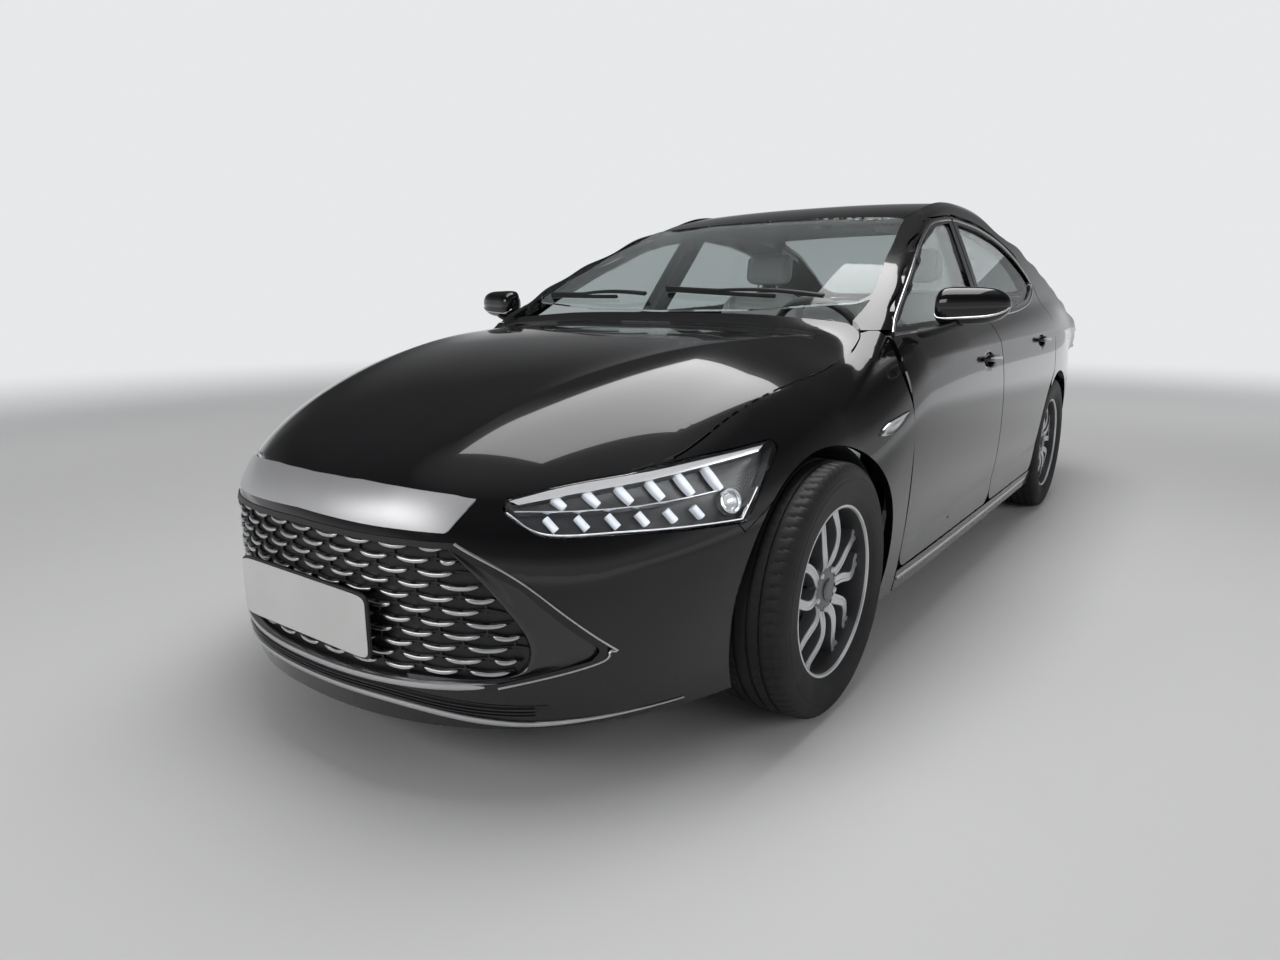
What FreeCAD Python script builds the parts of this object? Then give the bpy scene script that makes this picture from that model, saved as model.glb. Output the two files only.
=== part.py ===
"""Four-door saloon car: hollow body, opening doors, bonnet and boot, steered front wheels.

Frame: +X forward, +Y left, +Z up, origin on the ground under the middle of the car.
Every body panel is a slab cut from one master skin, which the functions below describe.
"""
import FreeCAD
import Part
import math
import os

V = FreeCAD.Vector
os.makedirs("parts", exist_ok=True)

# Driving dimensions, in millimetres and degrees
WHEELBASE = 2718.0
FRONT_AXLE_X = 1450.0
REAR_AXLE_X = FRONT_AXLE_X - WHEELBASE
HALF_WIDTH = 912.0
NOSE_X = 2388.0
TAIL_X = 2388.0
ROOF_Z = 1472.0
ROOF_X = -400.0
BELT_Z = 985.0
BELT_HALF = 815.0
COWL_X = 970.0
COWL_Z = 990.0
NOSE_TOP_X = 2320.0
NOSE_TOP_Z = 712.0
TYRE_RADIUS = 334.0
TYRE_WIDTH = 215.0
RIM_RADIUS = 224.0
WHEEL_Y = 790.0
ARCH_RADIUS = 372.0
OVERRUN = 5.0
PANEL_GAP = 4.0
SEAT_GAP = 0.3

# Master skin: waist, nose and tail curves
WAIST_Z = 620.0
LOW_TUCK, LOW_SPAN = 42.0, 440.0
HIGH_TUCK, HIGH_SPAN = 42.0, 340.0
NOSE_LOW_Z, NOSE_LOW_TUCK, NOSE_LOW_SPAN = 330.0, 14.0, 150.0
NOSE_HIGH_Z, NOSE_HIGH_TUCK, NOSE_HIGH_SPAN = 520.0, 40.0, 170.0
TAIL_MID_Z = 560.0
TAIL_LOW_TUCK, TAIL_LOW_SPAN = 60.0, 380.0
TAIL_HIGH_TUCK, TAIL_HIGH_SPAN = 85.0, 500.0
DECK_RISE, DECK_RUN = 85.0, 2670.0
CROWN, CROWN_HALF, DECK_CROWN = 30.0, 700.0, 12.0
CROWN_REAR_X, CROWN_FRONT_X = 300.0, 1000.0
EDGE_BLEND, BONNET_BLEND, SHOULDER_BLEND = 150.0, 340.0, 60.0
BLEND_IN_Y, BLEND_OUT_Y = 250.0, 650.0
BLEND_REAR_X, BLEND_FRONT_X = 800.0, 1350.0
ROOF_DROP_FRONT, ROOF_RUN_FRONT = 450.0, 1370.0
ROOF_DROP_REAR, ROOF_RUN_REAR = 372.0, 1420.0
ROOF_CROWN, ROOF_CROWN_HALF = 20.0, 600.0
TUMBLE_CURVE, TUMBLE_SPAN = 12.0, 400.0
TUMBLE_SHARE, UNDER_SHARE = 0.46, 0.25
SHOULDER_Z = 900.0
BELT_TAPER = 25.0
TAPER_X0, TAPER_X1 = 500.0, 1200.0
ROOF_BLEND, BELT_BLEND = 45.0, 40.0
REACH = 1700.0


def smooth_max(a, b, k):
    """Larger of two values, rounded over the width k where they meet."""
    h = max(k - abs(a - b), 0.0) / k
    return max(a, b) + h ** 3 * k / 6


def smooth_step(x, a, b):
    """0 before a, 1 after b, an S curve between."""
    t = min(max((x - a) / (b - a), 0.0), 1.0)
    return t * t * (3 - 2 * t)


def waist(z):
    """Half width of the lower body at its widest, by height."""
    low = max(WAIST_Z - z, 0.0) / LOW_SPAN
    high = max(z - WAIST_Z, 0.0) / HIGH_SPAN
    return max(HALF_WIDTH - LOW_TUCK * low ** 2 - HIGH_TUCK * high ** 2.2, HALF_WIDTH / 4)


def nose(z):
    """Reach of the nose on the centre line, by height."""
    low = max(NOSE_LOW_Z - z, 0.0) / NOSE_LOW_SPAN
    high = max(z - NOSE_HIGH_Z, 0.0) / NOSE_HIGH_SPAN
    return max(NOSE_X - NOSE_LOW_TUCK * low ** 2.2 - NOSE_HIGH_TUCK * high ** 2, NOSE_X / 4)


def tail(z):
    """Reach of the tail on the centre line, by height."""
    low = max(TAIL_MID_Z - z, 0.0) / TAIL_LOW_SPAN
    high = max(z - TAIL_MID_Z, 0.0) / TAIL_HIGH_SPAN
    return max(TAIL_X - TAIL_LOW_TUCK * low ** 2 - TAIL_HIGH_TUCK * high ** 1.8, TAIL_X / 4)


def top_line(x, y):
    """Height of the bonnet, belt and boot deck, by place."""
    s = min((x - COWL_X) / (NOSE_TOP_X - COWL_X), 1.3)
    if s >= 0:
        z = COWL_Z - (COWL_Z - NOSE_TOP_Z) * (0.22 * s + 0.78 * s ** 2.9)
    else:
        z = COWL_Z + DECK_RISE * min((COWL_X - x) / DECK_RUN, 1.0) ** 1.1
    front = smooth_step(x, CROWN_REAR_X, CROWN_FRONT_X)
    v = abs(y) / CROWN_HALF
    return z - CROWN * v ** 2.5 * front - DECK_CROWN * v ** 2 * (1 - front)


def lower_body(x, y, z):
    """Negative inside the lower body, which has super-elliptic plan corners."""
    if x > 0:
        a, p, q = nose(z), 5.2, 2.25
    else:
        a, p, q = tail(z), 7.0, 2.6
    b = waist(z)
    g = (abs(x) / a) ** p + (abs(y) / b) ** q
    side = b * (g ** (1 / q) - 1)
    out = smooth_step(abs(y), BLEND_IN_Y, BLEND_OUT_Y)
    k = EDGE_BLEND + out * (SHOULDER_BLEND + BONNET_BLEND * smooth_step(x, BLEND_REAR_X, BLEND_FRONT_X))
    return smooth_max(side, z - top_line(x, y), k)


def roof_line(x):
    """Height of the roof and its screens on the centre line."""
    if x > ROOF_X:
        return ROOF_Z - ROOF_DROP_FRONT * ((x - ROOF_X) / ROOF_RUN_FRONT) ** 1.75
    return ROOF_Z - ROOF_DROP_REAR * ((ROOF_X - x) / ROOF_RUN_REAR) ** 2.25


def belt_half(x, z):
    """Half width of the cabin's side: it leans in above the shoulder and tucks under it."""
    half = BELT_HALF - BELT_TAPER * smooth_step(x, TAPER_X0, TAPER_X1)
    half -= TUMBLE_SHARE * (max(z, SHOULDER_Z) - BELT_Z)
    half -= TUMBLE_CURVE * (max(z - BELT_Z, 0.0) / TUMBLE_SPAN) ** 2
    return half - UNDER_SHARE * max(SHOULDER_Z - z, 0.0)


def greenhouse(x, y, z):
    """Negative inside the cabin's upper part."""
    top = z - roof_line(x) + ROOF_CROWN * (abs(y) / ROOF_CROWN_HALF) ** 2.4
    return smooth_max(top, (abs(y) - belt_half(x, z)) * 0.88, ROOF_BLEND)


def skin(x, y, z):
    """Negative inside the whole car: lower body and greenhouse joined by a soft waist line."""
    return -smooth_max(-lower_body(x, y, z), -greenhouse(x, y, z), BELT_BLEND)


def hit(field, start, way):
    """Point where a ray from inside leaves the field."""
    near, far = 0.0, REACH
    for _ in range(34):
        mid = (near + far) / 2
        p = start + way * mid
        if field(p.x, p.y, p.z) < 0:
            near = mid
        else:
            far = mid
    return start + way * near


def span(a, b, n):
    """n values from a to b."""
    return [a + (b - a) * i / (n - 1) for i in range(n)]


def closed_solid(faces):
    """Solid bounded by faces that meet edge to edge."""
    shell = Part.Shell(faces)
    shell.sewShape()
    solid = Part.Solid(shell)
    if solid.Volume < 0:
        solid.reverse()
    return solid


def even_steps(lines):
    """Shared spline parameters for like lines of points: mean running length, from 0 to 1."""
    total = [0.0] * len(lines[0])
    for line in lines:
        run = 0.0
        for i in range(1, len(line)):
            run += (line[i] - line[i - 1]).Length
            total[i] += run
    return [t / total[-1] for t in total]


def through(points, steps):
    """Cubic spline through points at given parameters."""
    curve = Part.BSplineCurve()
    curve.interpolate(Points=points, Parameters=steps)
    return curve


def spline_sheet(grid, steps_u, steps_v):
    """Bicubic surface through a grid of points: splines along the rows, then across their poles."""
    rows = [through(row, steps_v) for row in grid]
    columns = [through(list(poles), steps_u) for poles in zip(*[row.getPoles() for row in rows])]
    poles = [list(line) for line in zip(*[column.getPoles() for column in columns])]
    surface = Part.BSplineSurface()
    surface.buildFromPolesMultsKnots(poles, columns[0].getMultiplicities(), rows[0].getMultiplicities(),
                                     columns[0].getKnots(), rows[0].getKnots(), False, False, 3, 3)
    return surface


def slab(field, rays, start_depth, end_depth):
    """Curved slab between two depths under the skin, along rays given as a grid of (start, way)."""
    hits = [[(hit(field, start, way), way) for start, way in row] for row in rays]
    points = [[p for p, way in row] for row in hits]
    steps_u = even_steps(list(zip(*points)))
    steps_v = even_steps(points)
    sheets = []
    for depth in (start_depth, end_depth):
        grid = [[p - way * (depth(p) if callable(depth) else depth) for p, way in row] for row in hits]
        sheets.append(spline_sheet(grid, steps_u, steps_v))
    a, b = sheets
    faces = [a.toShape(), b.toShape()]
    for end in (0.0, 1.0):
        faces.append(Part.makeRuledSurface(a.uIso(end).toShape(), b.uIso(end).toShape()))
        faces.append(Part.makeRuledSurface(a.vIso(end).toShape(), b.vIso(end).toShape()))
    return closed_solid(faces)


def side_rays(xs, zs):
    """Rays to the left."""
    return [[(V(x, 0, z), V(0, 1, 0)) for z in zs] for x in xs]


def turn_rays(xs, angles, z0):
    """Rays fanned about a line along the car at height z0."""
    return [[(V(x, 0, z0), V(0, math.cos(math.radians(a)), math.sin(math.radians(a))))
             for a in angles] for x in xs]


def plan_rays(x0, angles, zs):
    """Level rays fanned about an upright line at x0."""
    return [[(V(x0, 0, z), V(math.cos(math.radians(a)), math.sin(math.radians(a)), 0))
             for z in zs] for a in angles]


def rounded_wire(points, radii):
    """Closed wire through points in order, with tangent arcs at its corners."""
    n = len(points)
    if not isinstance(radii, (list, tuple)):
        radii = [radii] * n
    edges = []
    ends = []
    for i in range(n):
        p, a, b = points[i], points[i - 1], points[(i + 1) % n]
        u, v = (a - p), (b - p)
        room = 0.48 * min(u.Length, v.Length)
        u.normalize()
        v.normalize()
        half = u.getAngle(v) / 2
        if half > 1.565 or radii[i] == 0:
            ends.append((p, None, p))
            continue
        reach = min(radii[i] / math.tan(half), room)
        radius = reach * math.tan(half)
        way = (u + v).normalize()
        middle = p + way * (radius / math.sin(half) - radius)
        ends.append((p + u * reach, middle, p + v * reach))
    for i in range(n):
        start, middle, end = ends[i]
        if middle is not None:
            edges.append(Part.Arc(start, middle, end).toShape())
        nxt = ends[(i + 1) % n][0]
        if (nxt - end).Length > 0.001:
            edges.append(Part.makeLine(end, nxt))
    return Part.Wire(edges)


def prism(wire, way):
    """Solid swept from a flat closed wire."""
    return Part.Face(wire).extrude(way)


def side_prism(points, radii, y0, y1, grow=0.0):
    """Prism across the car with an outline of (x, z) points."""
    wire = rounded_wire([V(x, y0, z) for x, z in points], radii)
    if grow:
        wire = wire.makeOffset2D(grow)
    return prism(wire, V(0, y1 - y0, 0))


def top_prism(points, radii, z0, z1, grow=0.0):
    """Upright prism with an outline of (x, y) points."""
    wire = rounded_wire([V(x, y, z0) for x, y in points], radii)
    if grow:
        wire = wire.makeOffset2D(grow)
    return prism(wire, V(0, 0, z1 - z0))


def front_prism(points, radii, x0, x1, grow=0.0):
    """Prism along the car with an outline of (y, z) points."""
    wire = rounded_wire([V(x0, y, z) for y, z in points], radii)
    if grow:
        wire = wire.makeOffset2D(grow)
    return prism(wire, V(x1 - x0, 0, 0))


def box(x0, x1, y0, y1, z0, z1):
    """Box between two corners."""
    return Part.makeBox(x1 - x0, y1 - y0, z1 - z0, V(x0, y0, z0))


def tube(x, y0, y1, z, outer, inner=0.0):
    """Cylinder across the car, with a bore where inner is given."""
    body = Part.makeCylinder(outer, y1 - y0, V(x, y0, z), V(0, 1, 0))
    if inner:
        body = body.cut(Part.makeCylinder(inner, y1 - y0 + 2 * OVERRUN, V(x, y0 - OVERRUN, z), V(0, 1, 0)))
    return body


def mirrored(shape):
    """The same shape on the car's right."""
    return shape.mirror(V(0, 0, 0), V(0, 1, 0))


def solids_of(shape):
    """Compound of the shape's solids."""
    return Part.makeCompound(shape.Solids)


nodes = {}


def keep(name, shape):
    """Store a node, as one solid or a compound of solids."""
    nodes[name] = shape.Solids[0] if len(shape.Solids) == 1 else solids_of(shape)


def keep_pair(name, shape):
    """Store a node on the left and its mirror on the right."""
    keep(name + "_left", shape)
    keep(name + "_right", mirrored(shape))


def swung(shape, angle, at, axis):
    """Copy of a shape turned about an axis."""
    copy = shape.copy()
    copy.rotate(at, axis, angle)
    return copy


# Outlines of the side: doors and their windows, as seen from the left
B_LINE_BELT_X = -72.0
B_LINE_TOP_X = -190.0
B_LINE_TOP_Z = 1360.0
SILL_TOP_Z = 262.0
FRONT_CUT_X = 975.0
DOOR_GAP_LOW = 8.0
DOOR_GAP_HIGH = 14.0
DOOR_CORNER = 60.0
PILLAR_CORNER = 45.0
WINDOW_CORNER = 18.0


def b_line(z):
    """Middle of the gap between the doors, by height."""
    if z < BELT_Z:
        return B_LINE_BELT_X
    return B_LINE_BELT_X + (B_LINE_TOP_X - B_LINE_BELT_X) * (z - BELT_Z) / (B_LINE_TOP_Z - BELT_Z)


def b_edge(z, side):
    """Edge of a door beside the gap: side +1 is the front door, -1 the rear one."""
    half = (DOOR_GAP_LOW if z <= BELT_Z else DOOR_GAP_HIGH) / 2
    return (b_line(z) + side * half, z)


PILLAR_TOP_Z = 1386.0
FRONT_DOOR = [(FRONT_CUT_X, SILL_TOP_Z), (FRONT_CUT_X, 776.0), (952.0, 900.0), (940.0, 962.0), (868.0, 1021.0),
              (664.0, 1130.0), (413.0, 1247.0), (203.0, 1325.0), (78.0, 1357.0), (-108.0, 1380.0),
              b_edge(PILLAR_TOP_Z, 1), b_edge(BELT_Z, 1), b_edge(SILL_TOP_Z, 1)]
FRONT_DOOR_RADII = [DOOR_CORNER, 300.0, 200.0, 20.0, 300.0, 1500.0, 1500.0, 900.0, 900.0, 900.0, 8.0, 300.0,
                    DOOR_CORNER]
REAR_ARCH_LINE = 42.0
REAR_CUT_RADIUS = ARCH_RADIUS + REAR_ARCH_LINE


def arch_point(angle):
    """Point beside the rear wheel arch, by angle from straight ahead."""
    a = math.radians(angle)
    return (REAR_AXLE_X + REAR_CUT_RADIUS * math.cos(a), TYRE_RADIUS + REAR_CUT_RADIUS * math.sin(a))


REAR_DOOR = [b_edge(SILL_TOP_Z, -1), b_edge(BELT_Z, -1), b_edge(PILLAR_TOP_Z + 2.0, -1), (-290.0, 1387.0),
             (-565.0, 1375.0), (-838.0, 1336.0), (-1030.0, 1278.0), (-1158.0, 1202.0), (-1222.0, 1130.0),
             (-1216.0, 985.0), (-1158.0, 860.0), arch_point(68), arch_point(48), arch_point(28), arch_point(8),
             (REAR_AXLE_X + REAR_CUT_RADIUS - 6.0, SILL_TOP_Z)]
REAR_DOOR_RADII = [DOOR_CORNER, 300.0, 8.0, 900.0, 1500.0, 900.0, 900.0, 600.0, 90.0, 200.0, 120.0, 40.0,
                   REAR_CUT_RADIUS, REAR_CUT_RADIUS, REAR_CUT_RADIUS, 40.0]
FRAME_B = 55.0
FRONT_WINDOW = [(905.0, 982.0), (850.0, 1002.0), (655.0, 1103.0), (405.0, 1220.0), (198.0, 1298.0),
                (76.0, 1330.0), (-108.0, 1353.0), (b_line(1359.0) + FRAME_B, 1359.0), (b_line(1003.0) + FRAME_B, 1003.0)]
FRONT_WINDOW_RADII = [WINDOW_CORNER, 300.0, 1500.0, 1500.0, 900.0, 900.0, 900.0, WINDOW_CORNER, WINDOW_CORNER]
REAR_WINDOW = [(b_line(1005.0) - FRAME_B, 1005.0), (b_line(1361.0) - FRAME_B, 1361.0), (-290.0, 1360.0),
               (-560.0, 1348.0), (-826.0, 1309.0), (-1016.0, 1252.0), (-1132.0, 1181.0), (-1178.0, 1134.0),
               (-1130.0, 1104.0), (-961.0, 1055.0), (-700.0, 1027.0)]
REAR_WINDOW_RADII = [WINDOW_CORNER, WINDOW_CORNER, 900.0, 1500.0, 900.0, 900.0, 300.0, 16.0, 200.0, 900.0, 900.0]

# Doors: one thick shell below the belt, thin frames above it
DOOR_THICK = 62.0
FRAME_THICK = 26.0
FRAME_START_Z = BELT_Z - 65.0
FRAME_FULL_Z = BELT_Z - 5.0
GLASS_THICK = 5.0
GLASS_INSET = 9.0
FAN_Z = 600.0
DOOR_ANGLES = [-27, -17, -8, 1, 9, 15, 19, 21.5, 23.2, 25, 28, 34, 41, 48, 55, 62]


def door_depth(p):
    """Thickness of a door by height."""
    t = smooth_step(p.z, FRAME_START_Z, FRAME_FULL_Z)
    return DOOR_THICK + (FRAME_THICK - DOOR_THICK) * t


SIDE_INNER_Y = 400.0
SIDE_OUTER_Y = 1000.0
SIDE_FRONT_X = FRONT_CUT_X + 60.0
SIDE_REAR_X = -1300.0
side_shell = slab(skin, turn_rays(span(SIDE_REAR_X, SIDE_FRONT_X, 15), DOOR_ANGLES, FAN_Z), 0.0, door_depth)
glass_shell = slab(greenhouse, turn_rays(span(SIDE_REAR_X, SIDE_FRONT_X, 14), span(20, 60, 9), FAN_Z),
                   GLASS_INSET, GLASS_INSET + GLASS_THICK)


def door(outline, radii, window, window_radii):
    """Door panel with its frame, and its window glass."""
    panel = side_shell.common(side_prism(outline, radii, SIDE_INNER_Y, SIDE_OUTER_Y))
    panel = panel.cut(side_prism(window, window_radii, SIDE_INNER_Y, SIDE_OUTER_Y))
    glass = glass_shell.common(side_prism(window, window_radii, SIDE_INNER_Y, SIDE_OUTER_Y))
    return panel, glass


front_panel, front_glass = door(FRONT_DOOR, FRONT_DOOR_RADII, FRONT_WINDOW, FRONT_WINDOW_RADII)
rear_panel, rear_glass = door(REAR_DOOR, REAR_DOOR_RADII, REAR_WINDOW, REAR_WINDOW_RADII)
keep_pair("door_front", front_panel)
keep_pair("door_rear", rear_panel)
keep_pair("glass_front", front_glass)
keep_pair("glass_rear", rear_glass)

# Body side: sill, pillars and roof rail around the door openings
DOOR_CLEAR = 6.0
REAR_DOOR_CLEAR = 10.0
FRAME_DEPTH = 60.0
POST_LOW_START, POST_LOW_END = 92.0, 132.0
POST_HIGH_START, POST_HIGH_END = 40.0, 66.0
POST_WIDTH = 50.0
SILL_DEPTH = POST_LOW_END + 9.0
POST_STEP_Z0, POST_STEP_Z1 = BELT_Z - 60.0, BELT_Z + 30.0
SILL_LOW_Z = 186.0
POST_LOW_Z = SILL_LOW_Z + 5.0
FRAME_TOP_Z = 1460.0
SEAM_X = -1087.0
FENDER_REAR_X = FRONT_CUT_X + 6.5
A_POST_FRONT_X = FRONT_CUT_X + 75.0
C_POST_REAR_X = -1290.0


def post_start(p):
    """Depth of the inner posts' outer face."""
    return POST_LOW_START + (POST_HIGH_START - POST_LOW_START) * smooth_step(p.z, POST_STEP_Z0, POST_STEP_Z1)


def post_end(p):
    """Depth of the inner posts' inner face."""
    return POST_LOW_END + (POST_HIGH_END - POST_LOW_END) * smooth_step(p.z, POST_STEP_Z0, POST_STEP_Z1)


def both_sides(points):
    """Outline of (x, y) points from the left half and its mirror."""
    right = [(x, -y) for x, y in reversed(points) if y > 0]
    return points + right


WINDSCREEN = both_sides([(955.0, 0.0), (938.0, 350.0), (850.0, 700.0), (170.0, 556.0), (163.0, 300.0), (160.0, 0.0)])
ROOF = both_sides([(156.0, 0.0), (159.0, 300.0), (165.0, 552.0), (-300.0, 566.0), (-1012.0, 556.0),
                   (-1030.0, 300.0), (-1035.0, 0.0)])
BACKLIGHT = both_sides([(-1039.0, 0.0), (-1034.0, 300.0), (-1016.0, 556.0), (-1790.0, 590.0), (-1812.0, 350.0),
                        (-1820.0, 0.0)])
LID_FRONT_X = -1832.0
LID_HALF = 598.0
LID_TOP = both_sides([(LID_FRONT_X, 0.0), (-1826.0, 350.0), (-1802.0, LID_HALF), (-2500.0, LID_HALF)])
EDGE_RADIUS = 900.0
SCREEN_CORNER = 60.0
WINDSCREEN_RADII = [EDGE_RADIUS, EDGE_RADIUS, SCREEN_CORNER, SCREEN_CORNER, EDGE_RADIUS, EDGE_RADIUS, EDGE_RADIUS,
                    SCREEN_CORNER, SCREEN_CORNER, EDGE_RADIUS]
ROOF_RADII = [EDGE_RADIUS, EDGE_RADIUS, 20.0, EDGE_RADIUS, 20.0, EDGE_RADIUS, EDGE_RADIUS, EDGE_RADIUS, 20.0,
              EDGE_RADIUS, 20.0, EDGE_RADIUS]
BACKLIGHT_RADII = [EDGE_RADIUS, EDGE_RADIUS, 40.0, 90.0, EDGE_RADIUS, EDGE_RADIUS, EDGE_RADIUS, 90.0, 40.0,
                   EDGE_RADIUS]
LID_RADII = [EDGE_RADIUS, EDGE_RADIUS, 40.0, 5.0, 5.0, 40.0, EDGE_RADIUS]
TOP_Z0 = BELT_Z + 10.0
TOP_Z1 = ROOF_Z + 60.0
SEAL = 0.5
windscreen_hole = top_prism(WINDSCREEN, WINDSCREEN_RADII, TOP_Z0, TOP_Z1, PANEL_GAP)
roof_hole = top_prism(ROOF, ROOF_RADII, TOP_Z0, TOP_Z1, SEAL)
backlight_hole = top_prism(BACKLIGHT, BACKLIGHT_RADII, TOP_Z0, TOP_Z1, PANEL_GAP)
lid_hole = top_prism(LID_TOP, LID_RADII, WAIST_Z + 75.0, TOP_Z1, PANEL_GAP + 1.0)
front_hole = side_prism(FRONT_DOOR, FRONT_DOOR_RADII, SIDE_INNER_Y, SIDE_OUTER_Y, DOOR_CLEAR)
rear_hole = side_prism(REAR_DOOR, REAR_DOOR_RADII, SIDE_INNER_Y, SIDE_OUTER_Y, REAR_DOOR_CLEAR)
front_inner_hole = side_prism(FRONT_DOOR, FRONT_DOOR_RADII, SIDE_INNER_Y, SIDE_OUTER_Y, -POST_WIDTH)
rear_inner_hole = side_prism(REAR_DOOR, REAR_DOOR_RADII, SIDE_INNER_Y, SIDE_OUTER_Y, -POST_WIDTH)


def side_region(points):
    """Prism through the left side of the car with sharp corners."""
    return side_prism(points, 0.1, 0.0, SIDE_OUTER_Y)


def rear_arch(radius):
    """Cylinder through the left rear wheel arch."""
    return tube(REAR_AXLE_X, SIDE_INNER_Y, SIDE_OUTER_Y, TYRE_RADIUS, radius)


FRAME_ANGLES = [-31, -20, -9, 1, 9, 15, 19, 21.5, 23.2, 25, 28, 34, 41, 48, 55, 63]
frame_rays = turn_rays(span(-1310.0, 1270.0, 16), FRAME_ANGLES, FAN_Z)
outer_ring = slab(skin, frame_rays, 0.0, FRAME_DEPTH)
inner_ring = slab(skin, frame_rays, post_start, post_end)
sill = slab(skin, frame_rays, 0.0, SILL_DEPTH)
sill = sill.common(side_region([(-888.0, SILL_LOW_Z), (A_POST_FRONT_X - 80.0, SILL_LOW_Z),
                                (A_POST_FRONT_X - 80.0, SILL_TOP_Z - 8.0), (-888.0, SILL_TOP_Z - 8.0)]))
rail = outer_ring.common(side_region([(SEAM_X, BELT_Z + 80.0), (930.0, BELT_Z - 10.0), (1150.0, BELT_Z - 10.0),
                                      (1240.0, FRAME_TOP_Z), (SEAM_X, FRAME_TOP_Z)]))
rail = rail.cut(front_hole).cut(rear_hole).cut(windscreen_hole).cut(roof_hole).cut(backlight_hole)
posts = inner_ring.common(side_region([(C_POST_REAR_X, BELT_Z - 95.0), (-1180.0, BELT_Z - 100.0), (-1130.0, 700.0),
                                       (-860.0, 450.0), (-860.0, POST_LOW_Z), (A_POST_FRONT_X, POST_LOW_Z),
                                       (A_POST_FRONT_X, BELT_Z - 10.0), (1000.0, BELT_Z + 10.0),
                                       (1000.0, FRAME_TOP_Z), (C_POST_REAR_X, FRAME_TOP_Z)]))
posts = posts.cut(front_inner_hole).cut(rear_inner_hole).cut(windscreen_hole).cut(roof_hole).cut(backlight_hole)
posts = posts.cut(rear_arch(ARCH_RADIUS + 22.0))
posts = posts.cut(tube(FRONT_AXLE_X, SIDE_INNER_Y, SIDE_OUTER_Y, TYRE_RADIUS, ARCH_RADIUS + 22.0))

# Front wing, from the bonnet edge to the wheel arch and the door
FENDER_DEPTH = 20.0
SEAM_Z = 614.0
FENDER = [(FENDER_REAR_X, SILL_LOW_Z), (1290.0, SILL_LOW_Z), (1290.0, SEAM_Z - 40.0), (1500.0, SEAM_Z - 2.0),
          (1690.0, SEAM_Z + 3.0), (1790.0, 560.0), (1900.0, 700.0), (1900.0, 1010.0), (1300.0, 1010.0),
          (1150.0, BELT_Z - 14.0), (FENDER_REAR_X, BELT_Z - 12.0)]
BONNET_REAR_X = 968.0
BONNET_HALF = [(BONNET_REAR_X + 6.0, 0.0), (BONNET_REAR_X, 400.0), (BONNET_REAR_X + 4.0, 690.0), (1012.0, 742.0),
               (1110.0, 752.0), (1434.0, 726.0), (1629.0, 708.0), (1790.0, 692.0), (1868.0, 678.0), (1962.0, 632.0),
               (2086.0, 541.0), (2196.0, 458.0), (2234.0, 412.0), (2296.0, 264.0), (2310.0, 120.0), (2314.0, 0.0)]
BONNET = both_sides(BONNET_HALF)
BONNET_CORNER = 400.0
BONNET_HINGE_X = BONNET_REAR_X - 6.0
BONNET_THICK = 20.0
BONNET_LIFT = 6.0
BONNET_Z0, BONNET_Z1 = 640.0, 1060.0


def bonnet_outline(dx):
    """Upright prism of the bonnet's outline, grown by the panel gap and moved ahead."""
    wire = rounded_wire([V(x, y, BONNET_Z0) for x, y in BONNET], BONNET_CORNER).makeOffset2D(PANEL_GAP)
    wire.translate(V(dx, 0, 0))
    return prism(wire, V(0, 0, BONNET_Z1 - BONNET_Z0))


bonnet_hole = bonnet_outline(0.0).fuse(bonnet_outline(BONNET_LIFT))
scuttle_hole = box(830.0, 1010.0, 0.0, 700.0, 900.0, BONNET_Z1)
side_frame = posts.cut(bonnet_hole).cut(scuttle_hole).fuse([rail.cut(bonnet_hole).cut(scuttle_hole), sill])
LAMP_LINE = [(-590, 728), (-609, 743), (-783, 727), (-936, 709), (-1087, 693), (-1221, 668), (-1228, 642),
             (-1145, 591), (-947, 588), (-693, 581), (-647, 652)]
LAMP_RADII = [8.0, 8.0, 900.0, 900.0, 900.0, 10.0, 20.0, 30.0, 900.0, 20.0, 600.0]
LAMP_NEAR, LAMP_FAR = 1300.0, 2400.0


def lamp_prism(grow=0.0):
    """Prism of the left headlamp's outline, along the diagonal between ahead and left."""
    e = V(-1, 1, 0).normalize()
    n = V(1, 1, 0).normalize()
    wire = rounded_wire([e * u + V(0, 0, z) + n * LAMP_NEAR for u, z in LAMP_LINE], LAMP_RADII)
    if grow:
        wire = wire.makeOffset2D(grow)
    return prism(wire, n * (LAMP_FAR - LAMP_NEAR))


def front_arch(radius):
    """Cylinder through the left front wheel arch."""
    return tube(FRONT_AXLE_X, SIDE_INNER_Y, SIDE_OUTER_Y, TYRE_RADIUS, radius)


lamp_hole = lamp_prism(PANEL_GAP - 1.0)
fender_region = side_region(FENDER)
fender = slab(skin, turn_rays(span(970.0, 1880.0, 14), [-36, -22, -8, 6, 16, 24, 31, 38, 46, 56], FAN_Z - 100.0),
              0.0, FENDER_DEPTH)
fender = fender.common(fender_region).cut(front_arch(ARCH_RADIUS)).cut(bonnet_hole).cut(lamp_hole)

# Bonnet
BONNET_FAN_Z = 200.0
bonnet = slab(skin, turn_rays(span(BONNET_REAR_X - 16.0, NOSE_TOP_X + 8.0, 16), span(34, 146, 17), BONNET_FAN_Z),
              0.0, BONNET_THICK)
bonnet = bonnet.common(prism(rounded_wire([V(x, y, BONNET_Z0 - 40) for x, y in BONNET], BONNET_CORNER),
                             V(0, 0, 500.0)))
keep_pair("front_fender", fender)
keep("bonnet", bonnet)

# Screens, roof panel and boot lid
ROOF_THICK = 22.0
SCREEN_INSET = 3.0
SCREEN_THICK = 5.5
ACROSS = [-720, -600, -480, -320, -160, 0, 160, 320, 480, 600, 720]
ACROSS_ROOF = [-600, -560, -480, -320, -160, 0, 160, 320, 480, 560, 600]


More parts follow.
